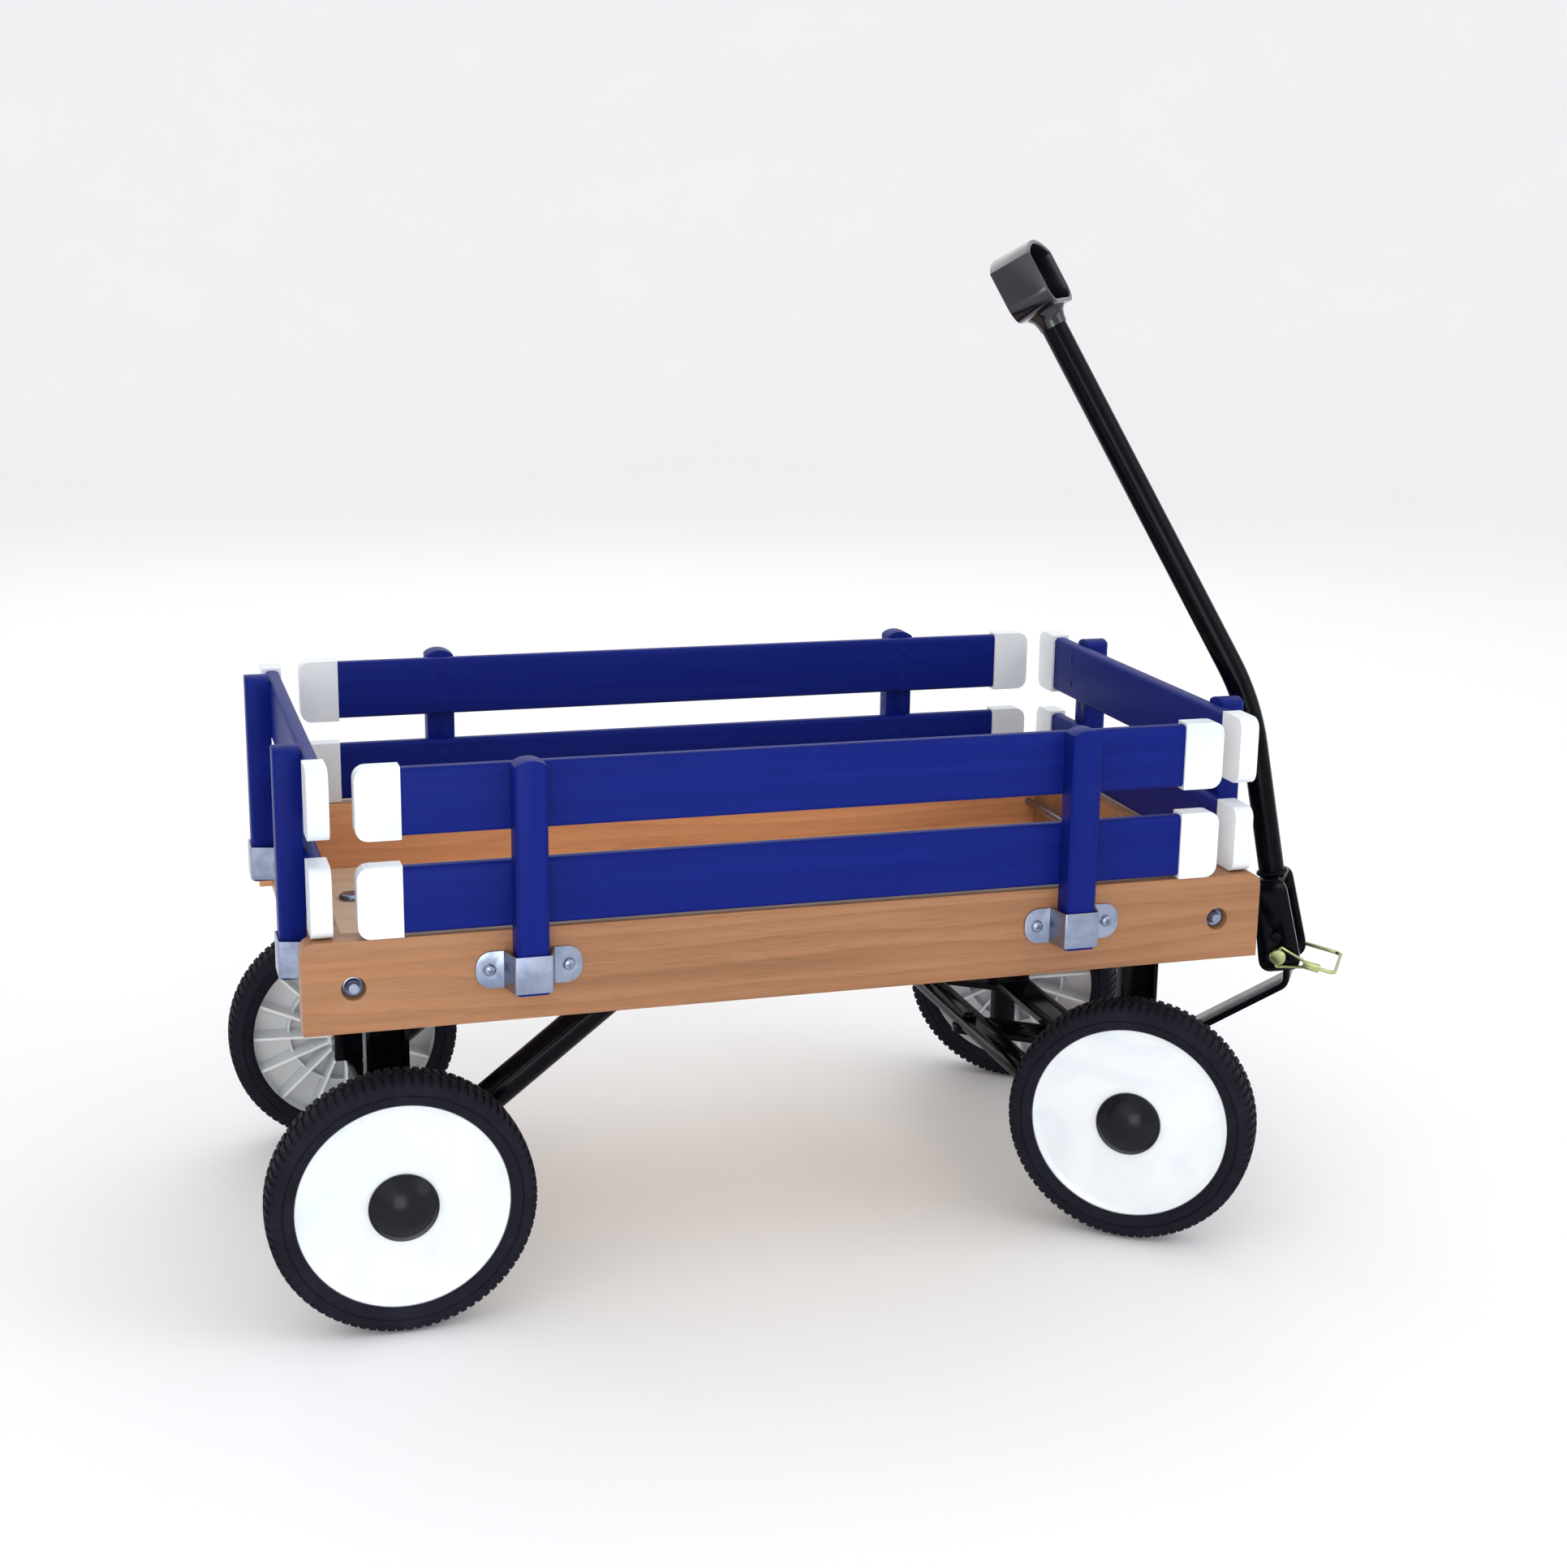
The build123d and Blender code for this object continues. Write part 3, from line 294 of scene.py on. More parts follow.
class Paint:
    """One material: a Principled shader and the nodes that feed it."""

    def __init__(self, name, **uniform):
        self.material = bpy.data.materials.new(name)
        self.material.use_nodes = True
        self.tree = self.material.node_tree
        self.shader = self.tree.nodes["Principled BSDF"]
        for socket, value in uniform.items():
            self.shader.inputs[socket.replace("_", " ")].default_value = value

    def add(self, kind, settings=None, sockets=None, out=0):
        """A node of this kind with its settings and inputs; gives one of its outputs."""
        node = self.tree.nodes.new(kind)
        for key, value in (settings or {}).items():
            if key == "stops":
                ramp = node.color_ramp
                while len(ramp.elements) < len(value):
                    ramp.elements.new(0.5)
                for element, (place, colour) in zip(ramp.elements, value):
                    element.position = place
                    element.color = (*colour, 1)
            else:
                setattr(node, key, value)
        for key, value in (sockets or {}).items():
            if isinstance(value, Socket):
                self.tree.links.new(value.socket, node.inputs[key])
            else:
                node.inputs[key].default_value = value
        return Socket(self, node.outputs[out])

    def place(self, scale=(1, 1, 1), turn=(0, 0, 0), shift=(0, 0, 0)):
        """Object coordinates, shifted, turned and scaled."""
        here = self.add("ShaderNodeTexCoord", out="Object")
        return self.add(
            "ShaderNodeMapping",
            None,
            {"Vector": here, "Location": shift, "Rotation": turn, "Scale": scale},
        )

    def noise(self, vector, scale, detail=3.0, rough=0.5, distortion=0.0):
        """Noise between 0 and 1."""
        return self.add(
            "ShaderNodeTexNoise",
            None,
            {
                "Vector": vector,
                "Scale": scale,
                "Detail": detail,
                "Roughness": rough,
                "Distortion": distortion,
            },
        )

    def mix(self, factor, first, second):
        """Blend of two colours."""
        colours = [(*c, 1) if isinstance(c, (tuple, list)) and len(c) == 3 else c for c in (first, second)]
        return self.add(
            "ShaderNodeMix",
            {"data_type": "RGBA"},
            {0: factor, 6: colours[0], 7: colours[1]},
            out=2,
        )

    def feed(self, socket, value):
        """Link a changing value to a socket of the shader."""
        self.tree.links.new(value.socket, self.shader.inputs[socket])

    def bump(self, height, depth, strength=1.0):
        """Raise the surface by a height of 0..1 times the depth in metres."""
        self.feed(
            "Normal",
            self.add("ShaderNodeBump", None, {"Height": height, "Distance": depth, "Strength": strength}),
        )


FINISHES = {}


def finish(name):
    """The named material, made the first time it is asked for."""
    if name not in FINISHES:
        FINISHES[name] = MAKERS[name](bpy.context.scene.wagon_colours)
    return FINISHES[name]


def timber(name, light, dark, along, rings, rough, coat):
    """Varnished wood with its grain along X or Y."""
    paint = Paint(name, Coat_Weight=coat, Coat_Roughness=0.22, Specular_IOR_Level=0.22)
    turn = (0, 0, 0) if along == "X" else (0, 0, radians(90))
    # growth rings cut lengthwise: the tree's axis wanders slowly against the board
    wander = paint.noise(paint.place((1.6, 9.0, 14.0), turn), 1.0, 2.0, 0.45)
    flat = paint.place((1.0, 1.0, 1.0), turn)
    across = paint.add("ShaderNodeSeparateXYZ", None, {0: flat}, out="Z")
    depth = paint.add("ShaderNodeSeparateXYZ", None, {0: flat}, out="Y")
    ring = across * rings + depth * rings * 0.35 + wander * 7.0
    early = paint.add("ShaderNodeMath", {"operation": "FRACT"}, {0: ring})
    late = early.clamped(0.25, 0.95) - early.clamped(0.955, 1.0)
    fibre = paint.noise(paint.place((7.0, 320.0, 320.0), turn), 1.0, 4.0, 0.62)
    streak = paint.noise(paint.place((2.2, 60.0, 60.0), turn), 1.0, 3.0, 0.55).clamped(0.42, 0.72)
    pore = paint.noise(paint.place((40.0, 1500.0, 1500.0), turn), 1.0, 2.0, 0.5).clamped(0.56, 0.70)
    cloud = paint.noise(paint.place((4.0, 10.0, 10.0), turn), 1.0, 2.0, 0.5).clamped(0.35, 0.75)
    colour = paint.mix(late * 0.26 + fibre * 0.34, light, dark)
    colour = paint.mix(streak * 0.38, colour, tuple(c * 0.85 for c in dark))
    colour = paint.mix(pore * 0.30, colour, tuple(c * 0.5 for c in dark))
    colour = paint.mix(cloud * 0.30, colour, tuple(min(1, c * 1.22) for c in light))
    paint.feed("Base Color", colour)
    paint.feed("Roughness", rough + fibre * 0.16 + pore * 0.12)
    paint.bump(fibre * 0.5 - pore * 0.6 + late * 0.3, 0.0003, 0.5)
    return paint.material


def painted_wood(name, along, colours):
    """Blue paint over planed wood whose grain lies along X, Y or Z."""
    paint = Paint(name, Specular_IOR_Level=0.09)
    stretch = {"X": (4.0, 150.0, 150.0), "Y": (150.0, 4.0, 150.0), "Z": (150.0, 150.0, 4.0)}[along]
    grain = paint.noise(paint.place(stretch), 1.0, 3.0, 0.55)
    brushed = paint.noise(paint.place(tuple(s * 0.12 for s in stretch)), 1.0, 2.0, 0.5)
    scuff = paint.noise(paint.place((60, 60, 60)), 1.0, 5.0, 0.7).clamped(0.62, 0.74)
    colour = paint.mix(grain.clamped(0.4, 0.75) * 0.35, tuple(colours.blue_paint), tuple(colours.blue_edge))
    colour = paint.mix(brushed.clamped(0.3, 0.7) * 0.22, colour, tuple(c * 0.72 for c in colours.blue_paint))
    colour = paint.mix(scuff * 0.10, colour, (0.03, 0.045, 0.24))
    paint.feed("Base Color", colour)
    paint.feed("Roughness", 0.36 + grain * 0.14 + scuff * 0.12)
    paint.bump(grain, 0.00026, 0.6)
    return paint.material


def white_moulding(name, colour, rough, gloss_patch):
    """White plastic with the faint swirl and ripple of a moulding."""
    paint = Paint(name, Subsurface_Weight=0.12, Subsurface_Scale=0.004, Coat_Weight=0.15, Coat_Roughness=0.12)
    swirl = paint.noise(paint.place((14, 14, 14)), 1.0, 4.0, 0.55, 0.8)
    ripple = paint.noise(paint.place((70, 70, 70)), 1.0, 2.0, 0.5)
    colour = tuple(colour)
    shaded = tuple(c * t for c, t in zip(colour, (0.86, 0.89, 0.94)))
    paint.feed("Base Color", paint.mix(swirl.clamped(0.35, 0.75), colour, shaded))
    paint.feed("Roughness", rough + swirl * gloss_patch)
    paint.bump(swirl * 0.6 + ripple * 0.4, 0.0006, 0.25)
    return paint.material


def powder_coat(colours):
    """Gloss black powder coat: fine orange peel and a little dust."""
    paint = Paint("black_powder_coat", Specular_IOR_Level=0.08)
    peel = paint.noise(paint.place((420, 420, 420)), 1.0, 2.0, 0.5)
    dust = paint.noise(paint.place((38, 38, 38)), 1.0, 6.0, 0.7).clamped(0.5, 0.85)
    base = tuple(colours.black_paint)
    paint.feed("Base Color", paint.mix(dust * 0.35, base, (0.012, 0.0115, 0.015)))
    paint.feed("Roughness", 0.13 + dust * 0.2)
    paint.bump(peel, 0.0002, 0.25)
    return paint.material


def black_moulding(name, shine, rough):
    """Glossy black surface with a faint smear and ripple."""
    paint = Paint(name, Specular_IOR_Level=shine)
    smear = paint.noise(paint.place((24, 24, 24)), 1.0, 5.0, 0.6, 0.4)
    paint.feed("Base Color", paint.mix(smear * 0.5, (0.0045, 0.0042, 0.008), (0.009, 0.0088, 0.0145)))
    paint.feed("Roughness", rough + smear.clamped(0.3, 0.8) * 0.12)
    paint.bump(smear, 0.0003, 0.3)
    return paint.material


def tyre_rubber(colours):
    """Matt rubber with a faint bloom and the sheen left by the mould."""
    paint = Paint("tyre_rubber", Specular_IOR_Level=0.09)
    bloom = paint.noise(paint.place((30, 30, 30)), 1.0, 6.0, 0.65)
    grit = paint.noise(paint.place((650, 650, 650)), 1.0, 3.0, 0.6)
    base = tuple(colours.rubber)
    paint.feed("Base Color", paint.mix(bloom.clamped(0.35, 0.8) * 0.6, base, tuple(c * 2.1 for c in base)))
    paint.feed("Roughness", 0.56 + grit * 0.16 + bloom * 0.1)
    paint.bump(grit, 0.0003, 0.4)
    return paint.material


def plated(name, colour, tint, rough):
    """Plated steel: bright crystals, cloudy patches and fine rolling lines."""
    paint = Paint(name, Metallic=1.0)
    cloud = paint.noise(paint.place((55, 55, 55)), 1.0, 4.0, 0.6)
    lines = paint.noise(paint.place((30, 30, 900)), 1.0, 2.0, 0.5)
    colour = tuple(colour)
    paint.feed("Base Color", paint.mix(cloud.clamped(0.35, 0.7), colour, tint))
    paint.feed("Roughness", rough + cloud * 0.16 + lines * 0.06)
    paint.bump(lines * 0.6 + cloud * 0.4, 0.00012, 0.3)
    return paint.material


def studio_floor(colours):
    """Pale seamless floor with the faint unevenness of a painted board."""
    paint = Paint("studio_floor", Specular_IOR_Level=0.2)
    cloud = paint.noise(paint.place((2.5, 2.5, 2.5)), 1.0, 3.0, 0.5)
    paint.feed("Base Color", paint.mix(cloud, (0.93, 0.93, 0.935), (0.90, 0.90, 0.905)))
    paint.feed("Roughness", 0.62 + cloud * 0.1)
    return paint.material


def board(name, along, rings, coat, painted_light_scale=(1.0, 1.0)):
    """Maker of varnished board wood; two factors of painted light scale its light and dark grain, so that a board
    looks more brightly lit than the lamps make it.
    """

    def make(colours):
        # painted light: the two factors brighten the wood's colour where more light should fall on it
        light = tuple(c * painted_light_scale[0] for c in colours.board_light)
        dark = tuple(c * painted_light_scale[1] for c in colours.board_dark)
        return timber(name, light, dark, along, rings, 0.36, coat)

    return make


MAKERS = {
    "right_board": board("varnished_board_right", "X", 75, 0.2),
    # painted light: the left board's wood is made over twice as light, standing in for light on its inner face,
    # which faces the camera
    "left_board": board("varnished_board_left_painted_light", "X", 68, 0.2, (2.2, 2.5)),
    "board_y": board("varnished_board_crosswise", "Y", 75, 0.25),
    "panel": lambda c: timber("floor_veneer", tuple(c.panel_light), tuple(c.panel_dark), "X", 30, 0.42, 0.1),
    "blue_x": lambda c: painted_wood("blue_slat_lengthwise", "X", c),
    "blue_y": lambda c: painted_wood("blue_slat_crosswise", "Y", c),
    "blue_z": lambda c: painted_wood("blue_stake", "Z", c),
    "cap": lambda c: white_moulding("white_cap_plastic", c.white_cap, 0.30, 0.2),
    "hub": lambda c: white_moulding("white_hub_plastic", c.white_hub, 0.28, 0.25),
    "steel": powder_coat,
    "plastic": lambda c: black_moulding("black_hub_cap", 0.2, 0.17),
    "grip": lambda c: black_moulding("black_grip", 0.62, 0.1),
    "rubber": tyre_rubber,
    "zinc": lambda c: plated("bright_zinc", c.zinc, (0.22, 0.26, 0.37), 0.20),
    "yellow": lambda c: plated("yellow_zinc", c.yellow_zinc, (0.36, 0.42, 0.20), 0.12),
    "floor": studio_floor,
}


# ---------------------------------------------------------------- mesh helpers
def piece(name, mesh, material, body, replaces=(), smooth=32):
    """Turn a bmesh into a finished object that rides on a CAD body."""
    data = bpy.data.meshes.new(name)
    mesh.to_mesh(data)
    mesh.free()
    data.materials.append(finish(material))
    if smooth:
        data.shade_smooth()
        data.set_sharp_from_angle(angle=radians(smooth))
    made = bpy.data.objects.new(name, data)
    bpy.context.scene.collection.objects.link(made)
    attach(made, body)
    if replaces:
        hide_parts(*([replaces] if isinstance(replaces, str) else replaces))
    return made


def eased(node, width, material, segments=2, smooth=32, crease=40):
    """The CAD node's shape with its triangles joined and its sharp edges eased."""
    mesh = bmesh.new()
    mesh.from_mesh(NODES[node].data)
    bmesh.ops.remove_doubles(mesh, verts=mesh.verts, dist=2e-6)
    bmesh.ops.dissolve_limit(
        mesh, angle_limit=radians(0.4), verts=mesh.verts, edges=mesh.edges, use_dissolve_boundaries=False
    )
    if width:
        sharp = [
            e for e in mesh.edges if len(e.link_faces) == 2 and e.calc_face_angle(0) > radians(crease)
        ]
        bmesh.ops.bevel(
            mesh,
            geom=sharp,
            offset=width,
            offset_type="OFFSET",
            affect="EDGES",
            segments=segments,
            profile=0.5,
            material=-1,
            clamp_overlap=True,
        )
    bmesh.ops.triangulate(mesh, faces=[f for f in mesh.faces if len(f.verts) > 4])
    return piece(node + "_finished", mesh, material, BODY_OF[node], node, smooth)


def box(mesh, low, high, ease=0.0, segments=2, edges=None):
    """A block between two corners added to the mesh; ease rounds the edges the test picks."""
    low, high = Vector(low), Vector(high)
    made = bmesh.ops.create_cube(mesh, size=1.0)["verts"]
    bmesh.ops.scale(mesh, vec=high - low, verts=made)
    bmesh.ops.translate(mesh, vec=(low + high) / 2, verts=made)
    if ease:
        own = {e for v in made for e in v.link_edges}
        picked = [e for e in own if edges is None or edges(e)]
        bmesh.ops.bevel(
            mesh, geom=picked, offset=ease, affect="EDGES", segments=segments, profile=0.5, material=-1
        )
    return made


def lathe(mesh, outline, steps, closed=False):
    """Spin an outline of (radius, height) points round the Z axis."""
    verts = [mesh.verts.new((r, 0, z)) for r, z in outline]
    edges = [mesh.edges.new(pair) for pair in zip(verts, verts[1:])]
    if closed:
        edges.append(mesh.edges.new((verts[-1], verts[0])))
    bmesh.ops.spin(
        mesh, geom=verts + edges, cent=(0, 0, 0), axis=(0, 0, 1), angle=tau, steps=steps, use_merge=True
    )


def whole(mesh):
    """Close seams and poles and point every face outwards."""
    bmesh.ops.remove_doubles(mesh, verts=mesh.verts, dist=1e-6)
    bmesh.ops.recalc_face_normals(mesh, faces=mesh.faces)


def carried(mesh, matrix):
    """Move the whole mesh by a matrix."""
    bmesh.ops.transform(mesh, matrix=matrix, verts=mesh.verts)


# ---------------------------------------------------------------- bed
class WAGON_OT_bed(bpy.types.Operator):
    """Varnished side and end boards with sanded edges, and the veneered floor panel"""

    bl_idname = "wagon.bed"
    bl_label = "Bed boards and floor"

    def execute(self, context):
        sizes = context.scene.wagon_sizes
        for side in ("right", "left"):
            eased(f"{side}_side_board", sizes.board_ease, f"{side}_board", 3)
        for end in ("front", "rear"):
            eased(f"{end}_end_board", sizes.board_ease, "board_y", 3)
        eased("floor_panel", 0, "panel", smooth=0)
        return {"FINISHED"}


# ---------------------------------------------------------------- racks
def rack_layout(side):
    """Corners of the CAD slats and caps of one rack, and its long axis."""
    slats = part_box(f"{side}_rack_slats")
    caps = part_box(f"{side}_rack_caps")
    along = 0 if side in ("right", "left") else 1
    return slats, caps, along


def slat_rows(side):
    """Bottom and top of the two slats of a rack."""
    low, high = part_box(f"{side}_rack_slats")
    heights = sorted({round(v.co.z, 5) for v in NODES[f"{side}_rack_slats"].data.vertices})

    def opening(pair):
        inside = pair[0] > low.z + 0.03 and pair[1] < high.z - 0.03
        return pair[1] - pair[0] if inside else 0

    gap = max(zip(heights, heights[1:]), key=opening)
    return (low.z, gap[0]), (gap[1], high.z)


def board_edges(axis):
    """Test that picks a block's edges along one axis."""

    def test(edge):
        line = edge.verts[1].co - edge.verts[0].co
        return abs(line[axis]) > 0.9 * line.length

    return test


def slat_pieces(side, ease):
    """Both slats of a rack, with rounded long edges, each end inside its cap."""
    slats, _, along = rack_layout(side)
    mesh = bmesh.new()
    for bottom, top in slat_rows(side):
        low, high = slats[0].copy(), slats[1].copy()
        low.z, high.z = bottom, top
        low[along] += 0.002
        high[along] -= 0.002
        box(mesh, low, high, ease, 4, board_edges(along))
    piece(f"{side}_slats", mesh, "blue_x" if along == 0 else "blue_y", f"{side}_rack", f"{side}_rack_slats")


def stake_places(side):
    """Middle of each stake along its rack, and the stakes' width."""
    along = 0 if side in ("right", "left") else 1
    low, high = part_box(f"{side}_rack_stakes")
    inner = [v.co[along] for v in NODES[f"{side}_rack_stakes"].data.vertices if v.co[along] > 0]
    width = max(inner) - min(inner)
    return (low[along] + width / 2, high[along] - width / 2), width


def painted_screws(side):
    """Screw heads under the paint, where the slats are fixed to the stakes."""
    slats, _, along = rack_layout(side)
    out = 1 - along
    inward = -1 if slats[0][out] + slats[1][out] > 0 else 1
    face = slats[0][out] if inward < 0 else slats[1][out]
    places, _ = stake_places(side)
    mesh = bmesh.new()
    for place in places:
        for bottom, top in slat_rows(side):
            for lift in (-0.011, 0.011):
                lathe(mesh, [(0.0, 0.00045), (0.0022, 0.0004), (0.0034, 0.0001), (0.0039, -0.0004)], 18)
                turn = Matrix.Rotation(radians(90), 4, "X" if out == 1 else "Y")
                if (out == 1) == (inward > 0):
                    turn = turn @ Matrix.Rotation(pi, 4, "X")
                spot = Vector((0, 0, (bottom + top) / 2 + lift))
                spot[along] = place
                spot[out] = face
                fresh = [v for v in mesh.verts if not v.tag]
                bmesh.ops.transform(mesh, matrix=Matrix.Translation(spot) @ turn, verts=fresh)
                for v in mesh.verts:
                    v.tag = True
    whole(mesh)
    piece(f"{side}_painted_screws", mesh, "blue_z", f"{side}_rack", f"{side}_rack_screws")


def cap_pieces(side, ease):
    """Moulded end caps: rounded at the free end, square where the slat enters."""
    _, caps, along = rack_layout(side)
    mesh = bmesh.new()
    reach = 0.030
    for end in (-1, 1):
        for bottom, top in slat_rows(side):
            low, high = caps[0].copy(), caps[1].copy()
            low.z, high.z = bottom - 0.0016, top + 0.0016
            if end < 0:
                high[along] = low[along] + reach
            else:
                low[along] = high[along] - reach
            inner = high[along] if end < 0 else low[along]
            made = box(mesh, low, high)
            own = {e for v in made for e in v.link_edges}
            free = [e for e in own if all(abs(v.co[along] - inner) > 0.01 for v in e.verts)]
            across = [e for e in free if abs(e.verts[0].co.z - e.verts[1].co.z) <= 0.01]
            bmesh.ops.bevel(
                mesh, geom=across, offset=0.0085, affect="EDGES", segments=5, profile=0.5, material=-1
            )
            fresh = [v for v in mesh.verts if not v.tag]
            own = {e for v in fresh for e in v.link_edges}
            rest = [
                e
                for e in own
                if e.calc_face_angle(0) > radians(60)
                and not all(abs(v.co[along] - inner) < 1e-5 for v in e.verts)
            ]
            bmesh.ops.bevel(
                mesh,
                geom=rest,
                offset=ease,
                affect="EDGES",
                segments=5,
                profile=0.5,
                material=-1,
                clamp_overlap=True,
            )
            for v in mesh.verts:
                v.tag = True
    piece(f"{side}_caps", mesh, "cap", f"{side}_rack", f"{side}_rack_caps", 40)


class WAGON_OT_racks(bpy.types.Operator):
    """Painted slats and stakes with moulded white end caps"""

    bl_idname = "wagon.racks"
    bl_label = "Lift-out racks"

    def execute(self, context):
        sizes = context.scene.wagon_sizes
        for side in SIDES:
            slat_pieces(side, sizes.slat_ease)
            eased(f"{side}_rack_stakes", sizes.stake_ease, "blue_z", 2, crease=25)
            cap_pieces(side, sizes.cap_ease)
            painted_screws(side)
        return {"FINISHED"}


# ---------------------------------------------------------------- plated hardware
def islands(node):
    """Corners of each separate solid of a CAD node."""
    mesh = bmesh.new()
    mesh.from_mesh(NODES[node].data)
    bmesh.ops.remove_doubles(mesh, verts=mesh.verts, dist=2e-6)
    seen, found = set(), []
    for start in mesh.verts:
        if start in seen:
            continue
        seen.add(start)
        stack, group = [start], []
        while stack:
            vert = stack.pop()
            group.append(vert.co.copy())
            for edge in vert.link_edges:
                other = edge.other_vert(vert)
                if other not in seen:
                    seen.add(other)
                    stack.append(other)
        low = Vector([min(c[i] for c in group) for i in range(3)])
        high = Vector([max(c[i] for c in group) for i in range(3)])
        found.append((low, high))
    mesh.free()
    return found


def recessed_head(name, radius, height, recess, steps=28):
    """Pan head on Z with a cross recess cut into its crown."""
    mesh = bmesh.new()
    lathe(
        mesh,
        [
            (0, height),
            (radius * 0.45, height * 0.97),
            (radius * 0.75, height * 0.82),
            (radius * 0.93, height * 0.52),
            (radius, height * 0.18),
            (radius, 0),
            (radius * 0.5, -0.0004),
            (0, -0.0004),
        ],
        steps,
    )
    whole(mesh)
    data = bpy.data.meshes.new(name)
    mesh.to_mesh(data)
    mesh.free()
    head = bpy.data.objects.new(name, data)
    cutter_mesh = bmesh.new()
    arm = radius * 0.56
    for turned in (0, 1):
        size = (arm, radius * 0.17) if turned == 0 else (radius * 0.17, arm)
        made = box(cutter_mesh, (-size[0], -size[1], height - recess), (size[0], size[1], height + recess))
        foot = [v for v in made if v.co.z < height]
        bmesh.ops.scale(cutter_mesh, vec=(0.55, 0.55, 1), verts=foot)
    cutter_data = bpy.data.meshes.new(name + "_cutter")
    cutter_mesh.to_mesh(cutter_data)
    cutter_mesh.free()
    cutter = bpy.data.objects.new(name + "_cutter", cutter_data)
    for made in (head, cutter):
        bpy.context.scene.collection.objects.link(made)
    cut = head.modifiers.new("recess", "BOOLEAN")
    cut.operation = "DIFFERENCE"
    cut.object = cutter
    cut.solver = "EXACT"
    cut.use_self = True
    graph = bpy.context.evaluated_depsgraph_get()
    result = bpy.data.meshes.new_from_object(head.evaluated_get(graph))
    for made in (head, cutter):
        bpy.data.objects.remove(made)
    return result


def outward_of(low, high):
    """Unit vector from the bed towards the face that a fastener stands on."""
    centre = (low + high) / 2
    if high.x - low.x > high.y - low.y:
        return Vector((1 if centre.x > 0 else -1, 0, 0))
    return Vector((0, 1 if centre.y > 0 else -1, 0))


def facing(direction, turn=0.0):
    """Rotation that carries Z to a direction, after a turn about Z."""
    return UP.rotation_difference(direction).to_matrix().to_4x4() @ Matrix.Rotation(turn, 4, "Z")


class WAGON_OT_hardware(bpy.types.Operator):
    """Zinc stake pockets, cross-recessed screws, cross-rod ends and floor bolts"""

    bl_idname = "wagon.hardware"
    bl_label = "Plated hardware"

    def execute(self, context):
        sizes = context.scene.wagon_sizes
        for kind in ("side", "end"):
            eased(f"{kind}_stake_pockets", sizes.plate_ease, "zinc", 2, 50)
        head = recessed_head("pocket_screw_head", 0.00425, 0.0026, sizes.screw_recess)
        mesh = bmesh.new()
        for index, (low, high) in enumerate(islands("pocket_screws")):
            direction = outward_of(low, high)
            crown = (low + high) / 2 + direction * ((high - low).dot(Vector(map(abs, direction))) / 2)
            spot = crown - direction * 0.0026
            start = len(mesh.verts)
            mesh.from_mesh(head)
            mesh.verts.ensure_lookup_table()
            matrix = Matrix.Translation(spot) @ facing(direction, 0.7 + index * 1.9)
            bmesh.ops.transform(mesh, matrix=matrix, verts=mesh.verts[start:])
        piece("pocket_screw_heads", mesh, "zinc", "wagon", "pocket_screws", 40)
        self.rod_ends(sizes)
        eased("cross_rods", 0, "zinc")
        eased("floor_nuts", 0.0005, "zinc")
        eased("floor_bolts", 0, "zinc")
        eased("lock_nuts", 0.0005, "zinc")
        for side in ("right", "left"):
            eased(f"{side}_spindle_nut", 0.0005, "zinc")
        return {"FINISHED"}

    def rod_ends(self, sizes):
        """A cupped washer and a small recessed head in each counterbore of the side boards."""
        head = recessed_head("rod_end_head", 0.0041, 0.0034, sizes.screw_recess)
        mesh = bmesh.new()
        for index, (low, high) in enumerate(islands("cross_rod_nuts")):
            direction = Vector((0, 1 if low.y > 0 else -1, 0))
            centre = (low + high) / 2
            seat = Vector((centre.x, min(abs(low.y), abs(high.y)) * direction.y, centre.z))
            matrix = Matrix.Translation(seat) @ facing(direction, 0.5 + index)
            start = len(mesh.verts)
            lathe(
                mesh,
                [
                    (0.0034, 0.0002),
                    (0.0074, 0.0002),
                    (0.0074, 0.0013),
                    (0.0068, 0.0024),
                    (0.0060, 0.0026),
                    (0.0050, 0.0019),
                    (0.0034, 0.0017),
                ],
                40,
                True,
            )
            mesh.verts.ensure_lookup_table()
            bmesh.ops.transform(mesh, matrix=matrix, verts=mesh.verts[start:])
            start = len(mesh.verts)
            mesh.from_mesh(head)
            mesh.verts.ensure_lookup_table()
            lift = matrix @ Matrix.Translation((0, 0, 0.0024))
            bmesh.ops.transform(mesh, matrix=lift, verts=mesh.verts[start:])
        whole(mesh)
        piece("rod_end_screws", mesh, "zinc", "wagon", "cross_rod_nuts", 40)


# ---------------------------------------------------------------- running gear
STEEL_NODES = (
    "rear_axle",
    "rear_axle_frame",
    "rear_braces",
    "front_axle_frame",
    "pivot_bolts",
    "right_knuckle",
    "left_knuckle",
    "tongue",
    "tie_rod",
    "tie_rod_rivets",
)


class WAGON_OT_running_gear(bpy.types.Operator):
    """Axle frames, braces, steering knuckles, tie rod and tongue in black powder coat"""

    bl_idname = "wagon.running_gear"
    bl_label = "Running gear"

    def execute(self, context):
        ease = context.scene.wagon_sizes.plate_ease
        for node in STEEL_NODES:
            plain = node in ("rear_axle", "tie_rod_rivets", "rear_braces")
            eased(node, 0 if plain else ease, "steel", 2, 38, 55)
        self.column_welds(context.scene.wagon_sizes.weld_bead)
        return {"FINISHED"}

    def column_welds(self, bead):
        """Weld beads where the columns meet the plates above and the beam below."""
        for name, node in (("front", "front_axle_frame"), ("rear", "rear_axle_frame")):
            low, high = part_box(node)
            mesh = bmesh.new()
            top = high.z - 0.004
            web = 0.116 if name == "front" else 0.101
            levels = [top] + ([low.z + 0.005] if name == "front" else [])
            for side in (-1, 1):
                for level in levels:
                    centre = Vector(((low.x + high.x) / 2, side * web, level))
                    weld_line(mesh, centre - Vector((0.013, 0, 0)), centre + Vector((0.013, 0, 0)), bead)
            whole(mesh)
            piece(f"{name}_column_welds", mesh, "steel", "wagon", (), 60)


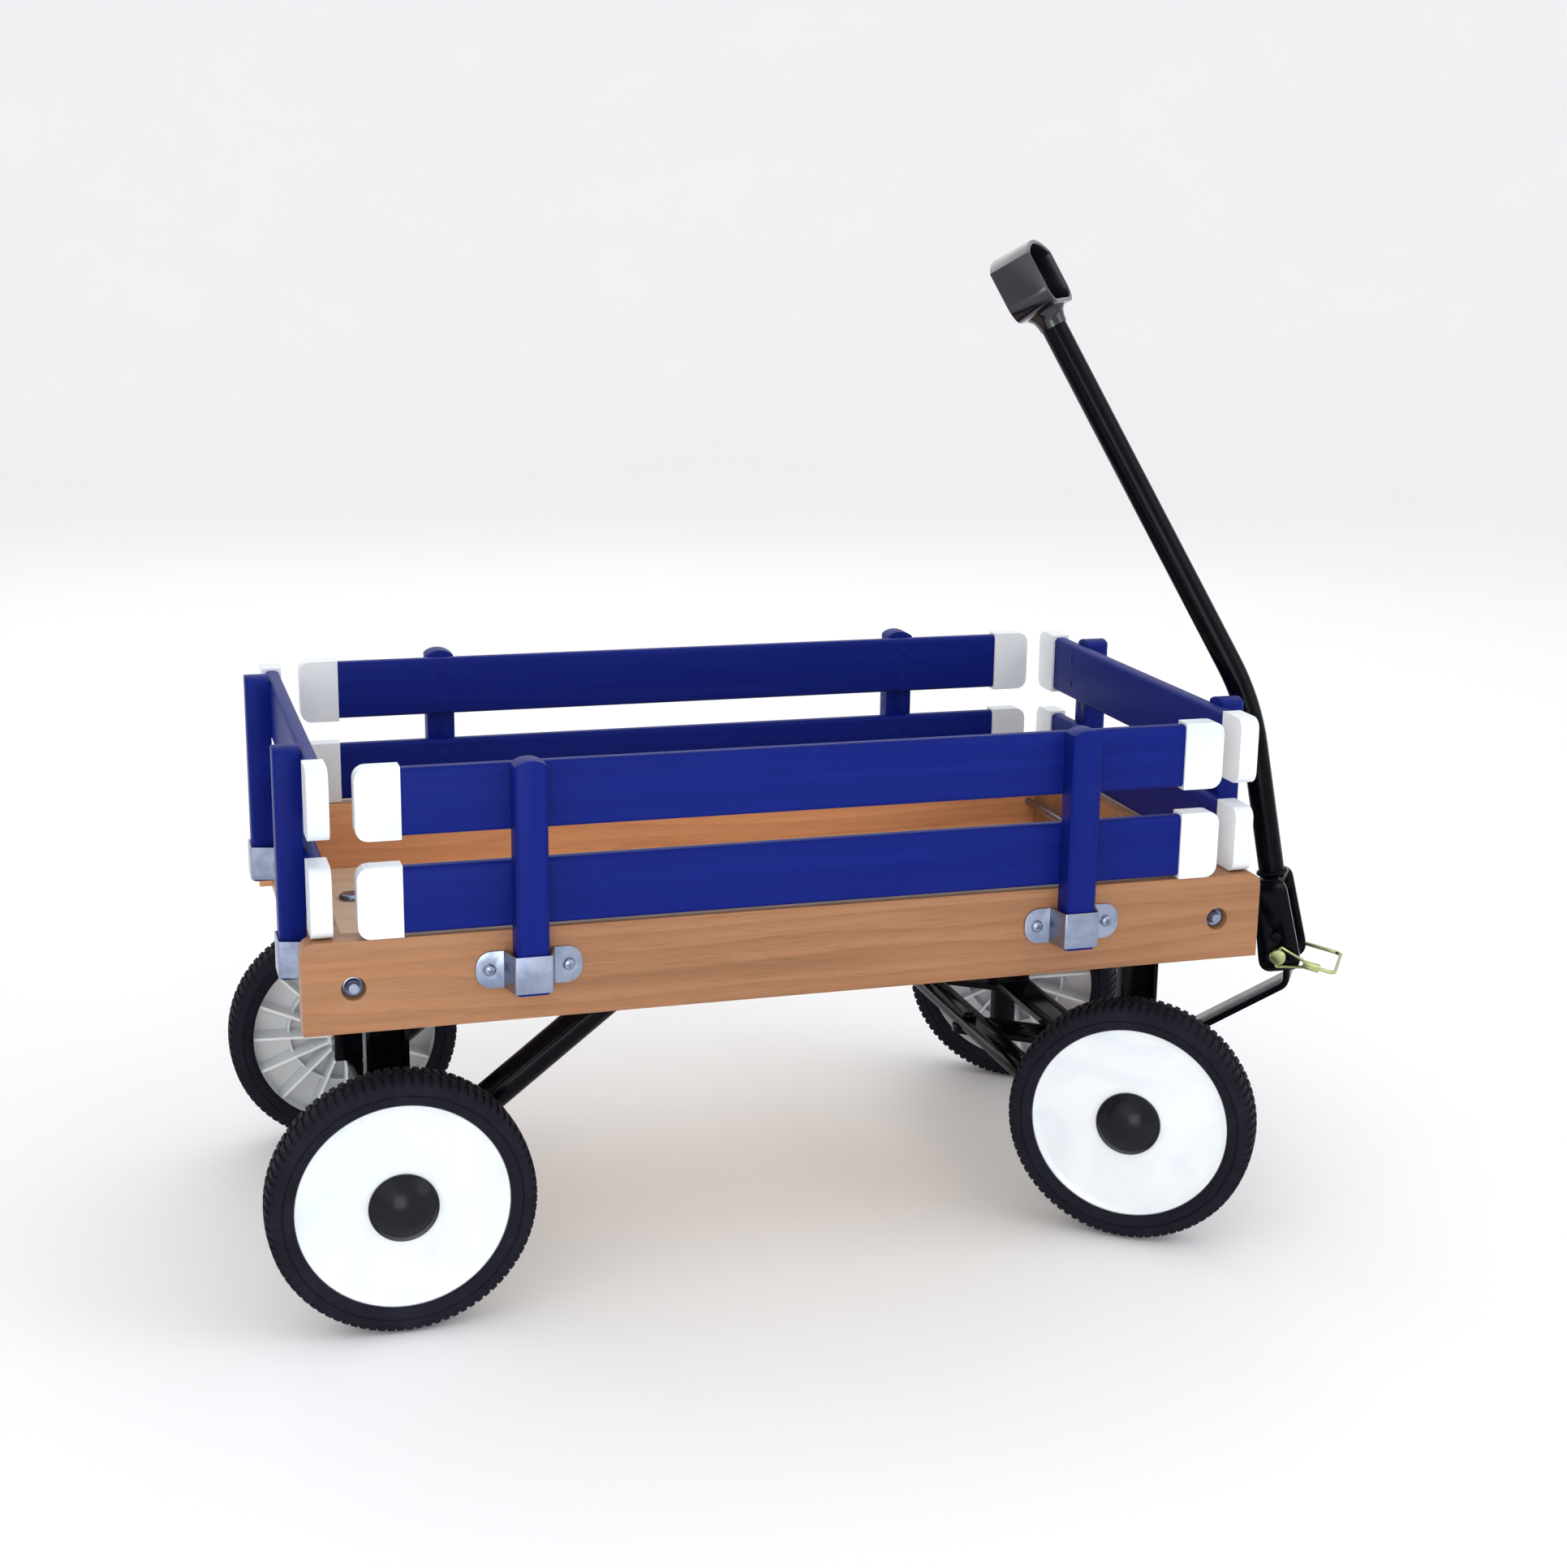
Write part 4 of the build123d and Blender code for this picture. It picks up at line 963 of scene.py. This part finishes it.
def weld_line(mesh, start, end, bead, ripples=9):
    """A rippled bead of overlapping drops from start to end."""
    for step in range(ripples + 1):
        made = bmesh.ops.create_icosphere(mesh, subdivisions=2, radius=bead)["verts"]
        share = step / ripples
        bmesh.ops.scale(mesh, vec=(1.0, 1.0, 0.8), verts=made)
        bmesh.ops.translate(mesh, vec=start.lerp(end, share), verts=made)


# ---------------------------------------------------------------- wheels
TYRE_SIDE = [
    (0.0776, 0.0126),
    (0.0742, 0.0126),
    (0.0738, 0.0134),
    (0.0743, 0.0146),
    (0.0760, 0.0160),
    (0.0790, 0.0171),
    (0.0812, 0.0174),
    (0.0817, 0.0166),
    (0.0821, 0.0166),
    (0.0826, 0.0174),
    (0.0852, 0.0172),
    (0.0876, 0.0164),
    (0.0896, 0.0149),
    (0.0909, 0.0120),
    (0.0913, 0.0060),
    (0.0915, 0.0011),
]


def tyre_mesh(sizes):
    """Tyre on Z: smooth body with two staggered rows of tread lugs over its shoulders."""
    strips = 5
    steps = sizes.lug_count * strips
    outline = [(r, z) for r, z in TYRE_SIDE] + [(r, -z) for r, z in reversed(TYRE_SIDE)]
    mesh = bmesh.new()
    lathe(mesh, outline, steps, True)
    whole(mesh)
    lugs = []
    for face in mesh.faces:
        centre = face.calc_center_median()
        reach = sqrt(centre.x**2 + centre.y**2)
        if reach < 0.0880 or abs(centre.z) < 0.0011:
            continue
        strip = int((atan2(centre.y, centre.x) % tau) / tau * steps)
        shift = 0 if centre.z > 0 else 2
        if (strip + shift) % strips < 3:
            lugs.append(face)
    raised = bmesh.ops.extrude_face_region(mesh, geom=lugs)
    for item in raised["geom"]:
        if isinstance(item, bmesh.types.BMVert):
            reach = sqrt(item.co.x**2 + item.co.y**2)
            share = min(1.0, max(0.3, (reach - 0.0865) / 0.0035))
            grow = sizes.lug_height * share
            item.co.x *= (reach + grow) / reach
            item.co.y *= (reach + grow) / reach
    bmesh.ops.delete(mesh, geom=[f for f in lugs if f.is_valid], context="FACES")
    bmesh.ops.recalc_face_normals(mesh, faces=mesh.faces)
    return mesh


def hub_mesh(sizes):
    """Hub on Z, outer plate towards +Z, with ribs and a barrel behind it."""
    mesh = bmesh.new()
    bore = 0.0066
    lathe(
        mesh,
        [
            (bore, 0.0128),
            (0.0245, 0.0128),
            (0.0262, 0.0124),
            (0.0300, 0.0121),
            (0.0680, 0.0113),
            (0.0705, 0.0116),
            (0.0722, 0.0128),
            (0.0734, 0.0130),
            (0.0740, 0.0122),
            (0.0776, 0.0122),
            (0.0776, -0.0126),
            (0.0760, -0.0130),
            (0.0750, -0.0126),
            (0.0748, 0.0088),
            (0.0700, 0.0096),
            (0.0180, 0.0096),
            (0.0152, 0.0076),
            (0.0146, -0.0180),
            (0.0140, -0.0190),
            (bore, -0.0190),
        ],
        96,
        True,
    )
    ribs = sizes.hub_rib_count
    for index in range(ribs):
        made = box(mesh, (0.0145, -0.0011, -0.0098), (0.0752, 0.0011, 0.0100))
        sag = [v for v in made if v.co.z < 0 and v.co.x < 0.04]
        bmesh.ops.translate(mesh, vec=(0, 0, -0.0060), verts=sag)
        bmesh.ops.rotate(mesh, cent=(0, 0, 0), matrix=Matrix.Rotation(tau * index / ribs, 3, "Z"), verts=made)
    # a stepped ring behind the plate stiffens the ribs
    lathe(mesh, [(0.0440, 0.0098), (0.0440, -0.0010), (0.0458, -0.0010), (0.0458, 0.0098)], 72)
    whole(mesh)
    return mesh


def dome_mesh():
    """Hub cap on Z: rolled foot, short skirt and a smooth dome."""
    radius, height = 0.0243, 0.0138
    rise = height - 0.002
    ball = (radius**2 + rise**2) / (2 * rise)
    reach = asin(radius / ball)
    outline = [(0.0, 0.013 + height)]
    outline += [
        (ball * sin(reach * s / 14), 0.013 + height - ball * (1 - cos(reach * s / 14))) for s in range(1, 14)
    ]
    outline += [(radius * 0.992, 0.0158), (radius, 0.0148), (radius, 0.0131), (radius - 0.002, 0.0131)]
    mesh = bmesh.new()
    lathe(mesh, outline, 72)
    whole(mesh)
    if sum(f.normal.z for f in mesh.faces) < 0:
        bmesh.ops.reverse_faces(mesh, faces=mesh.faces)
    return mesh


def wheel_matrix(end, side):
    """Place of a wheel: its plane's middle, with Z pointing out of the wagon."""
    joint = JOINTS[f"{end}_{side}_wheel_spin"]
    axis = Vector(joint["axis"]).normalized()
    outward = axis if side == "left" else -axis
    return Matrix.Translation(Vector(joint["pos_m"])) @ facing(outward)


class WAGON_OT_wheels(bpy.types.Operator):
    """Lugged tyres, ribbed white hubs and domed black caps"""

    bl_idname = "wagon.wheels"
    bl_label = "Wheels"

    def execute(self, context):
        sizes = context.scene.wagon_sizes
        for end, side in WHEELS:
            place = wheel_matrix(end, side)
            label = f"{end}_{side}"
            body = f"{label}_wheel"
            for kind, mesh, material, smooth in (
                ("tyre", tyre_mesh(sizes), "rubber", 38),
                ("hub", hub_mesh(sizes), "hub", 34),
                ("hub_cap", dome_mesh(), "plastic", 60),
            ):
                carried(mesh, place)
                piece(f"{label}_{kind}_finished", mesh, material, body, f"{label}_{kind}", smooth)
        return {"FINISHED"}


# ---------------------------------------------------------------- handle
HANDLE_LEAN = 11            # degrees that the lower tube leans back at rest
HANDLE_BEND = radians(19.6)
HINGE_TO_KNEE = 0.1997      # pivot to the corner of the bend
KNEE_TO_GRIP = 0.368        # corner of the bend to the middle of the grip
KNEE_RADIUS = 0.200
TUBE_RADIUS = 0.010
GRIP_FOOT = 0.0268          # middle of the grip down to its foot


def hinge_frame(lean):
    """Matrix of the handle's hinge: X ahead, Y to the left, Z up, leaned back by a number of degrees."""
    joint = JOINTS["handle_pitch"]
    left = Vector(joint["axis"]).normalized()
    ahead = left.cross(UP)
    turn = Matrix((ahead, left, UP)).transposed().to_4x4()
    return Matrix.Translation(Vector(joint["pos_m"])) @ turn @ Matrix.Rotation(radians(-lean), 4, "Y")


class WAGON_OT_handle(bpy.types.Operator):
    """Yoke, bent tube and loop grip of the pull handle, with their weld beads"""

    bl_idname = "wagon.handle"
    bl_label = "Pull handle"

    def execute(self, context):
        sizes = context.scene.wagon_sizes
        eased("handle_yoke", 0.0007, "steel", 2, 38, 45)
        eased("stop_rivet", 0, "steel")
        self.tube()
        self.grip()
        self.weld(sizes.weld_bead)
        return {"FINISHED"}

    def tube(self):
        """The bent tube, as a swept round profile."""
        bend, knee = HANDLE_BEND, HINGE_TO_KNEE
        foot = 0.0615
        top = KNEE_TO_GRIP - GRIP_FOOT
        tangent = KNEE_RADIUS * sin(bend / 2) / cos(bend / 2)
        away = Vector((-sin(bend), 0, cos(bend)))
        corner = Vector((0, 0, knee))
        centre = Vector((-KNEE_RADIUS, 0, knee - tangent))
        points = [Vector((0, 0, foot)), Vector((0, 0, knee - tangent))]
        points += [
            centre + Vector((KNEE_RADIUS * cos(bend * s / 8), 0, KNEE_RADIUS * sin(bend * s / 8)))
            for s in range(1, 8)
        ]
        points += [corner + away * tangent, corner + away * top]
        mesh = bmesh.new()
        ring = bmesh.ops.create_circle(mesh, cap_ends=True, radius=TUBE_RADIUS, segments=40)["verts"]
        bmesh.ops.translate(mesh, vec=points[0], verts=ring)
        face = mesh.faces[:]
        for index in range(1, len(points)):
            grown = bmesh.ops.extrude_face_region(mesh, geom=face)
            verts = [g for g in grown["geom"] if isinstance(g, bmesh.types.BMVert)]
            face = [g for g in grown["geom"] if isinstance(g, bmesh.types.BMFace)]
            before = points[index] - points[index - 1]
            after = points[min(index + 1, len(points) - 1)] - points[index]
            slope = before.normalized() + (after.normalized() if after.length else before.normalized())
            target = atan2(-slope.x, slope.z)
            current = atan2(-face[0].normal.x, face[0].normal.z)
            bmesh.ops.rotate(
                mesh,
                cent=points[index - 1],
                matrix=Matrix.Rotation(-(target - current), 3, "Y"),
                verts=verts,
            )
            bmesh.ops.translate(mesh, vec=before, verts=verts)
        whole(mesh)
        carried(mesh, hinge_frame(HANDLE_LEAN))
        piece("handle_tube_finished", mesh, "steel", "handle", "handle_tube", 50)

    def grip(self):
        """The loop grip: a bent strap with a crowned top, and the collar that takes the tube."""
        bend = HANDLE_BEND
        half, deep, wall, corner, rise = 0.0388, 0.034, 0.0036, 0.015, 0.0105
        foot, crown = -GRIP_FOOT, GRIP_FOOT
        arc = (half**2 + rise**2) / (2 * rise)
        spread = asin(half / arc)
        outline = [
            (side * (half - corner + corner * sin(pi * s / 16)), foot + corner - corner * cos(pi * s / 16))
            for side, order in ((1, range(9)), (-1, range(8, -1, -1)))
            for s in order
        ]
        top = [
            (arc * sin(spread * s / 10), crown - arc * (1 - cos(spread * s / 10)))
            for s in range(10, -11, -1)
        ]
        outline = outline[:9] + top + outline[9:]
        mesh = bmesh.new()
        verts = [mesh.verts.new((-deep / 2, y, z)) for y, z in outline]
        edges = [mesh.edges.new(pair) for pair in zip(verts, verts[1:] + verts[:1])]
        wide = bmesh.ops.extrude_edge_only(mesh, edges=edges)["geom"]
        far_rim = [g for g in wide if isinstance(g, bmesh.types.BMVert)]
        bmesh.ops.translate(mesh, vec=(deep, 0, 0), verts=far_rim)
        bmesh.ops.recalc_face_normals(mesh, faces=mesh.faces)
        if sum(f.normal.dot(f.calc_center_median()) for f in mesh.faces) < 0:
            bmesh.ops.reverse_faces(mesh, faces=mesh.faces)
        bmesh.ops.solidify(mesh, geom=mesh.faces[:], thickness=wall)
        rims = [
            e
            for e in mesh.edges
            if len(e.link_faces) == 2
            and e.calc_face_angle(0) > radians(60)
            and abs(e.verts[0].co.x - e.verts[1].co.x) < 1e-5
        ]
        bmesh.ops.bevel(mesh, geom=rims, offset=0.0011, affect="EDGES", segments=3, profile=0.5, material=-1)
        lathe(
            mesh,
            [
                (0.0100, -0.0400),
                (0.0108, -0.0398),
                (0.0114, -0.0350),
                (0.0128, -0.0305),
                (0.0155, -0.0276),
                (0.0158, -0.0258),
                (0.0100, -0.0258),
            ],
            40,
            True,
        )
        whole(mesh)
        upper = Matrix.Translation((-sin(bend) * KNEE_TO_GRIP, 0, HINGE_TO_KNEE + cos(bend) * KNEE_TO_GRIP))
        carried(mesh, hinge_frame(HANDLE_LEAN) @ upper @ Matrix.Rotation(-bend, 4, "Y"))
        piece("handle_grip_finished", mesh, "grip", "handle", "handle_grip", 35)

    def weld(self, bead):
        """Weld beads round the foot of the tube, on top of the yoke, and along the tongue's eye."""
        mesh = bmesh.new()
        drops = 30
        for index in range(drops):
            angle = tau * index / drops
            made = bmesh.ops.create_icosphere(mesh, subdivisions=2, radius=bead)["verts"]
            bmesh.ops.translate(mesh, vec=(0.0104 * cos(angle), 0.0104 * sin(angle), 0.0624), verts=made)
        whole(mesh)
        carried(mesh, hinge_frame(HANDLE_LEAN))
        piece("handle_foot_weld", mesh, "steel", "handle", (), 60)
        mesh = bmesh.new()
        for height in (-0.0086, 0.0082):
            weld_line(mesh, Vector((0.0035, -0.016, height)), Vector((0.0035, 0.016, height)), bead * 0.8, 14)
        whole(mesh)
        carried(mesh, hinge_frame(0))
        piece("tongue_eye_weld", mesh, "steel", "tongue", (), 60)


class WAGON_OT_lock_pin(bpy.types.Operator):
    """Yellow-plated lock pin and its square wire bail"""

    bl_idname = "wagon.lock_pin"
    bl_label = "Lock pin"

    def execute(self, context):
        eased("lock_pin", 0.0004, "yellow", 2, 22, 30)
        eased("lock_pin_bail", 0.0003, "yellow", 2, 45, 60)
        return {"FINISHED"}


# ---------------------------------------------------------------- stage
class WAGON_OT_stage(bpy.types.Operator):
    """Pale floor, soft studio lights and the camera"""

    bl_idname = "wagon.stage"
    bl_label = "Stage"

    def execute(self, context):
        stage = context.scene.wagon_stage
        self.floor(stage)
        self.lights(context, stage)
        self.camera(context, stage)
        context.scene.view_settings.view_transform = "Standard"
        return {"FINISHED"}

    def floor(self, stage):
        """A round floor that curves up into a low wall on every side."""
        flat, cove = stage.floor_reach, stage.floor_reach * 0.5
        outline = [(0, 0), (flat, 0)]
        outline += [(flat + cove * sin(pi * s / 32), cove * (1 - cos(pi * s / 32))) for s in range(1, 17)]
        outline += [(flat + cove, cove * 1.6)]
        mesh = bmesh.new()
        lathe(mesh, outline, 128)
        whole(mesh)
        bmesh.ops.translate(mesh, vec=(0, 0, -0.0006), verts=mesh.verts)
        data = bpy.data.meshes.new("floor_sheet")
        mesh.to_mesh(data)
        mesh.free()
        data.shade_smooth()
        data.materials.append(finish("floor"))
        sheet = bpy.data.objects.new("floor_sheet", data)
        bpy.context.scene.collection.objects.link(sheet)

    def lights(self, context, stage):
        """Four soft panels and a bright even surround."""
        target = Vector((0, 0, 0.3))
        for name, spot, size, power, tint in (
            ("key_panel", (-1.75, -1.95, 1.55), 1.9, stage.key_power, (0.93, 0.965, 1.0)),
            ("fill_panel", (2.2, -1.4, 1.5), 1.7, stage.fill_power, (0.93, 0.96, 1.0)),
            ("back_panel", (0.4, 2.4, 2.2), 2.4, stage.fill_power, (1.0, 1.0, 1.0)),
            ("front_panel", (-0.6, -2.5, 0.6), 1.2, stage.fill_power * 1.3, (0.96, 0.98, 1.0)),
        ):
            data = bpy.data.lights.new(name, "AREA")
            data.energy = power
            data.color = tint
            data.shape = "SQUARE"
            data.size = size
            light = bpy.data.objects.new(name, data)
            context.scene.collection.objects.link(light)
            light.location = spot
            light.rotation_euler = (target - Vector(spot)).to_track_quat("-Z", "Y").to_euler()
        world = bpy.data.worlds.new("studio_surround")
        world.use_nodes = True
        back = world.node_tree.nodes["Background"]
        back.inputs["Color"].default_value = (0.98, 0.99, 1.0, 1)
        back.inputs["Strength"].default_value = 1.0
        context.scene.world = world

    def camera(self, context, stage):
        """Eye-level three-quarter view from the rear right."""
        data = bpy.data.cameras.new("camera")
        data.lens = stage.lens
        data.sensor_width = 36.0
        data.sensor_fit = "HORIZONTAL"
        view = bpy.data.objects.new("camera", data)
        context.scene.collection.objects.link(view)
        turn, lift, roll = radians(-17.049), radians(14.029), radians(0.846)
        back = Vector((sin(turn) * cos(lift), -cos(turn) * cos(lift), sin(lift)))
        side = Vector((cos(turn), sin(turn), 0))
        top = back.cross(side)
        right = side * cos(roll) + top * sin(roll)
        up = top * cos(roll) - side * sin(roll)
        turned = Matrix((right, up, back)).transposed().to_4x4()
        view.matrix_world = Matrix.Translation(stage.eye) @ turned
        context.scene.camera = view


# ---------------------------------------------------------------- add-on
OPERATORS = (
    WAGON_OT_bed,
    WAGON_OT_racks,
    WAGON_OT_hardware,
    WAGON_OT_running_gear,
    WAGON_OT_wheels,
    WAGON_OT_handle,
    WAGON_OT_lock_pin,
    WAGON_OT_stage,
)


class WAGON_PT_panel(bpy.types.Panel):
    """Sizes, colours and the operators that make each group of pieces"""

    bl_label = "Pull Wagon"
    bl_idname = "WAGON_PT_panel"
    bl_space_type = "VIEW_3D"
    bl_region_type = "UI"
    bl_category = "Wagon"

    def draw(self, context):
        layout = self.layout
        for group in (context.scene.wagon_sizes, context.scene.wagon_colours, context.scene.wagon_stage):
            section = layout.box()
            for name in group.__annotations__:
                section.prop(group, name)
        for operator in OPERATORS:
            layout.operator(operator.bl_idname)


CLASSES = (WagonSizes, WagonColours, WagonStage, *OPERATORS, WAGON_PT_panel)


def register():
    for cls in CLASSES:
        bpy.utils.register_class(cls)
    bpy.types.Scene.wagon_sizes = PointerProperty(type=WagonSizes)
    bpy.types.Scene.wagon_colours = PointerProperty(type=WagonColours)
    bpy.types.Scene.wagon_stage = PointerProperty(type=WagonStage)


def unregister():
    for name in ("wagon_stage", "wagon_colours", "wagon_sizes"):
        delattr(bpy.types.Scene, name)
    for cls in reversed(CLASSES):
        bpy.utils.unregister_class(cls)


def main():
    register()
    for operator in OPERATORS:
        group, name = operator.bl_idname.split(".")
        getattr(getattr(bpy.ops, group), name)()


if __name__ == "__main__":
    main()
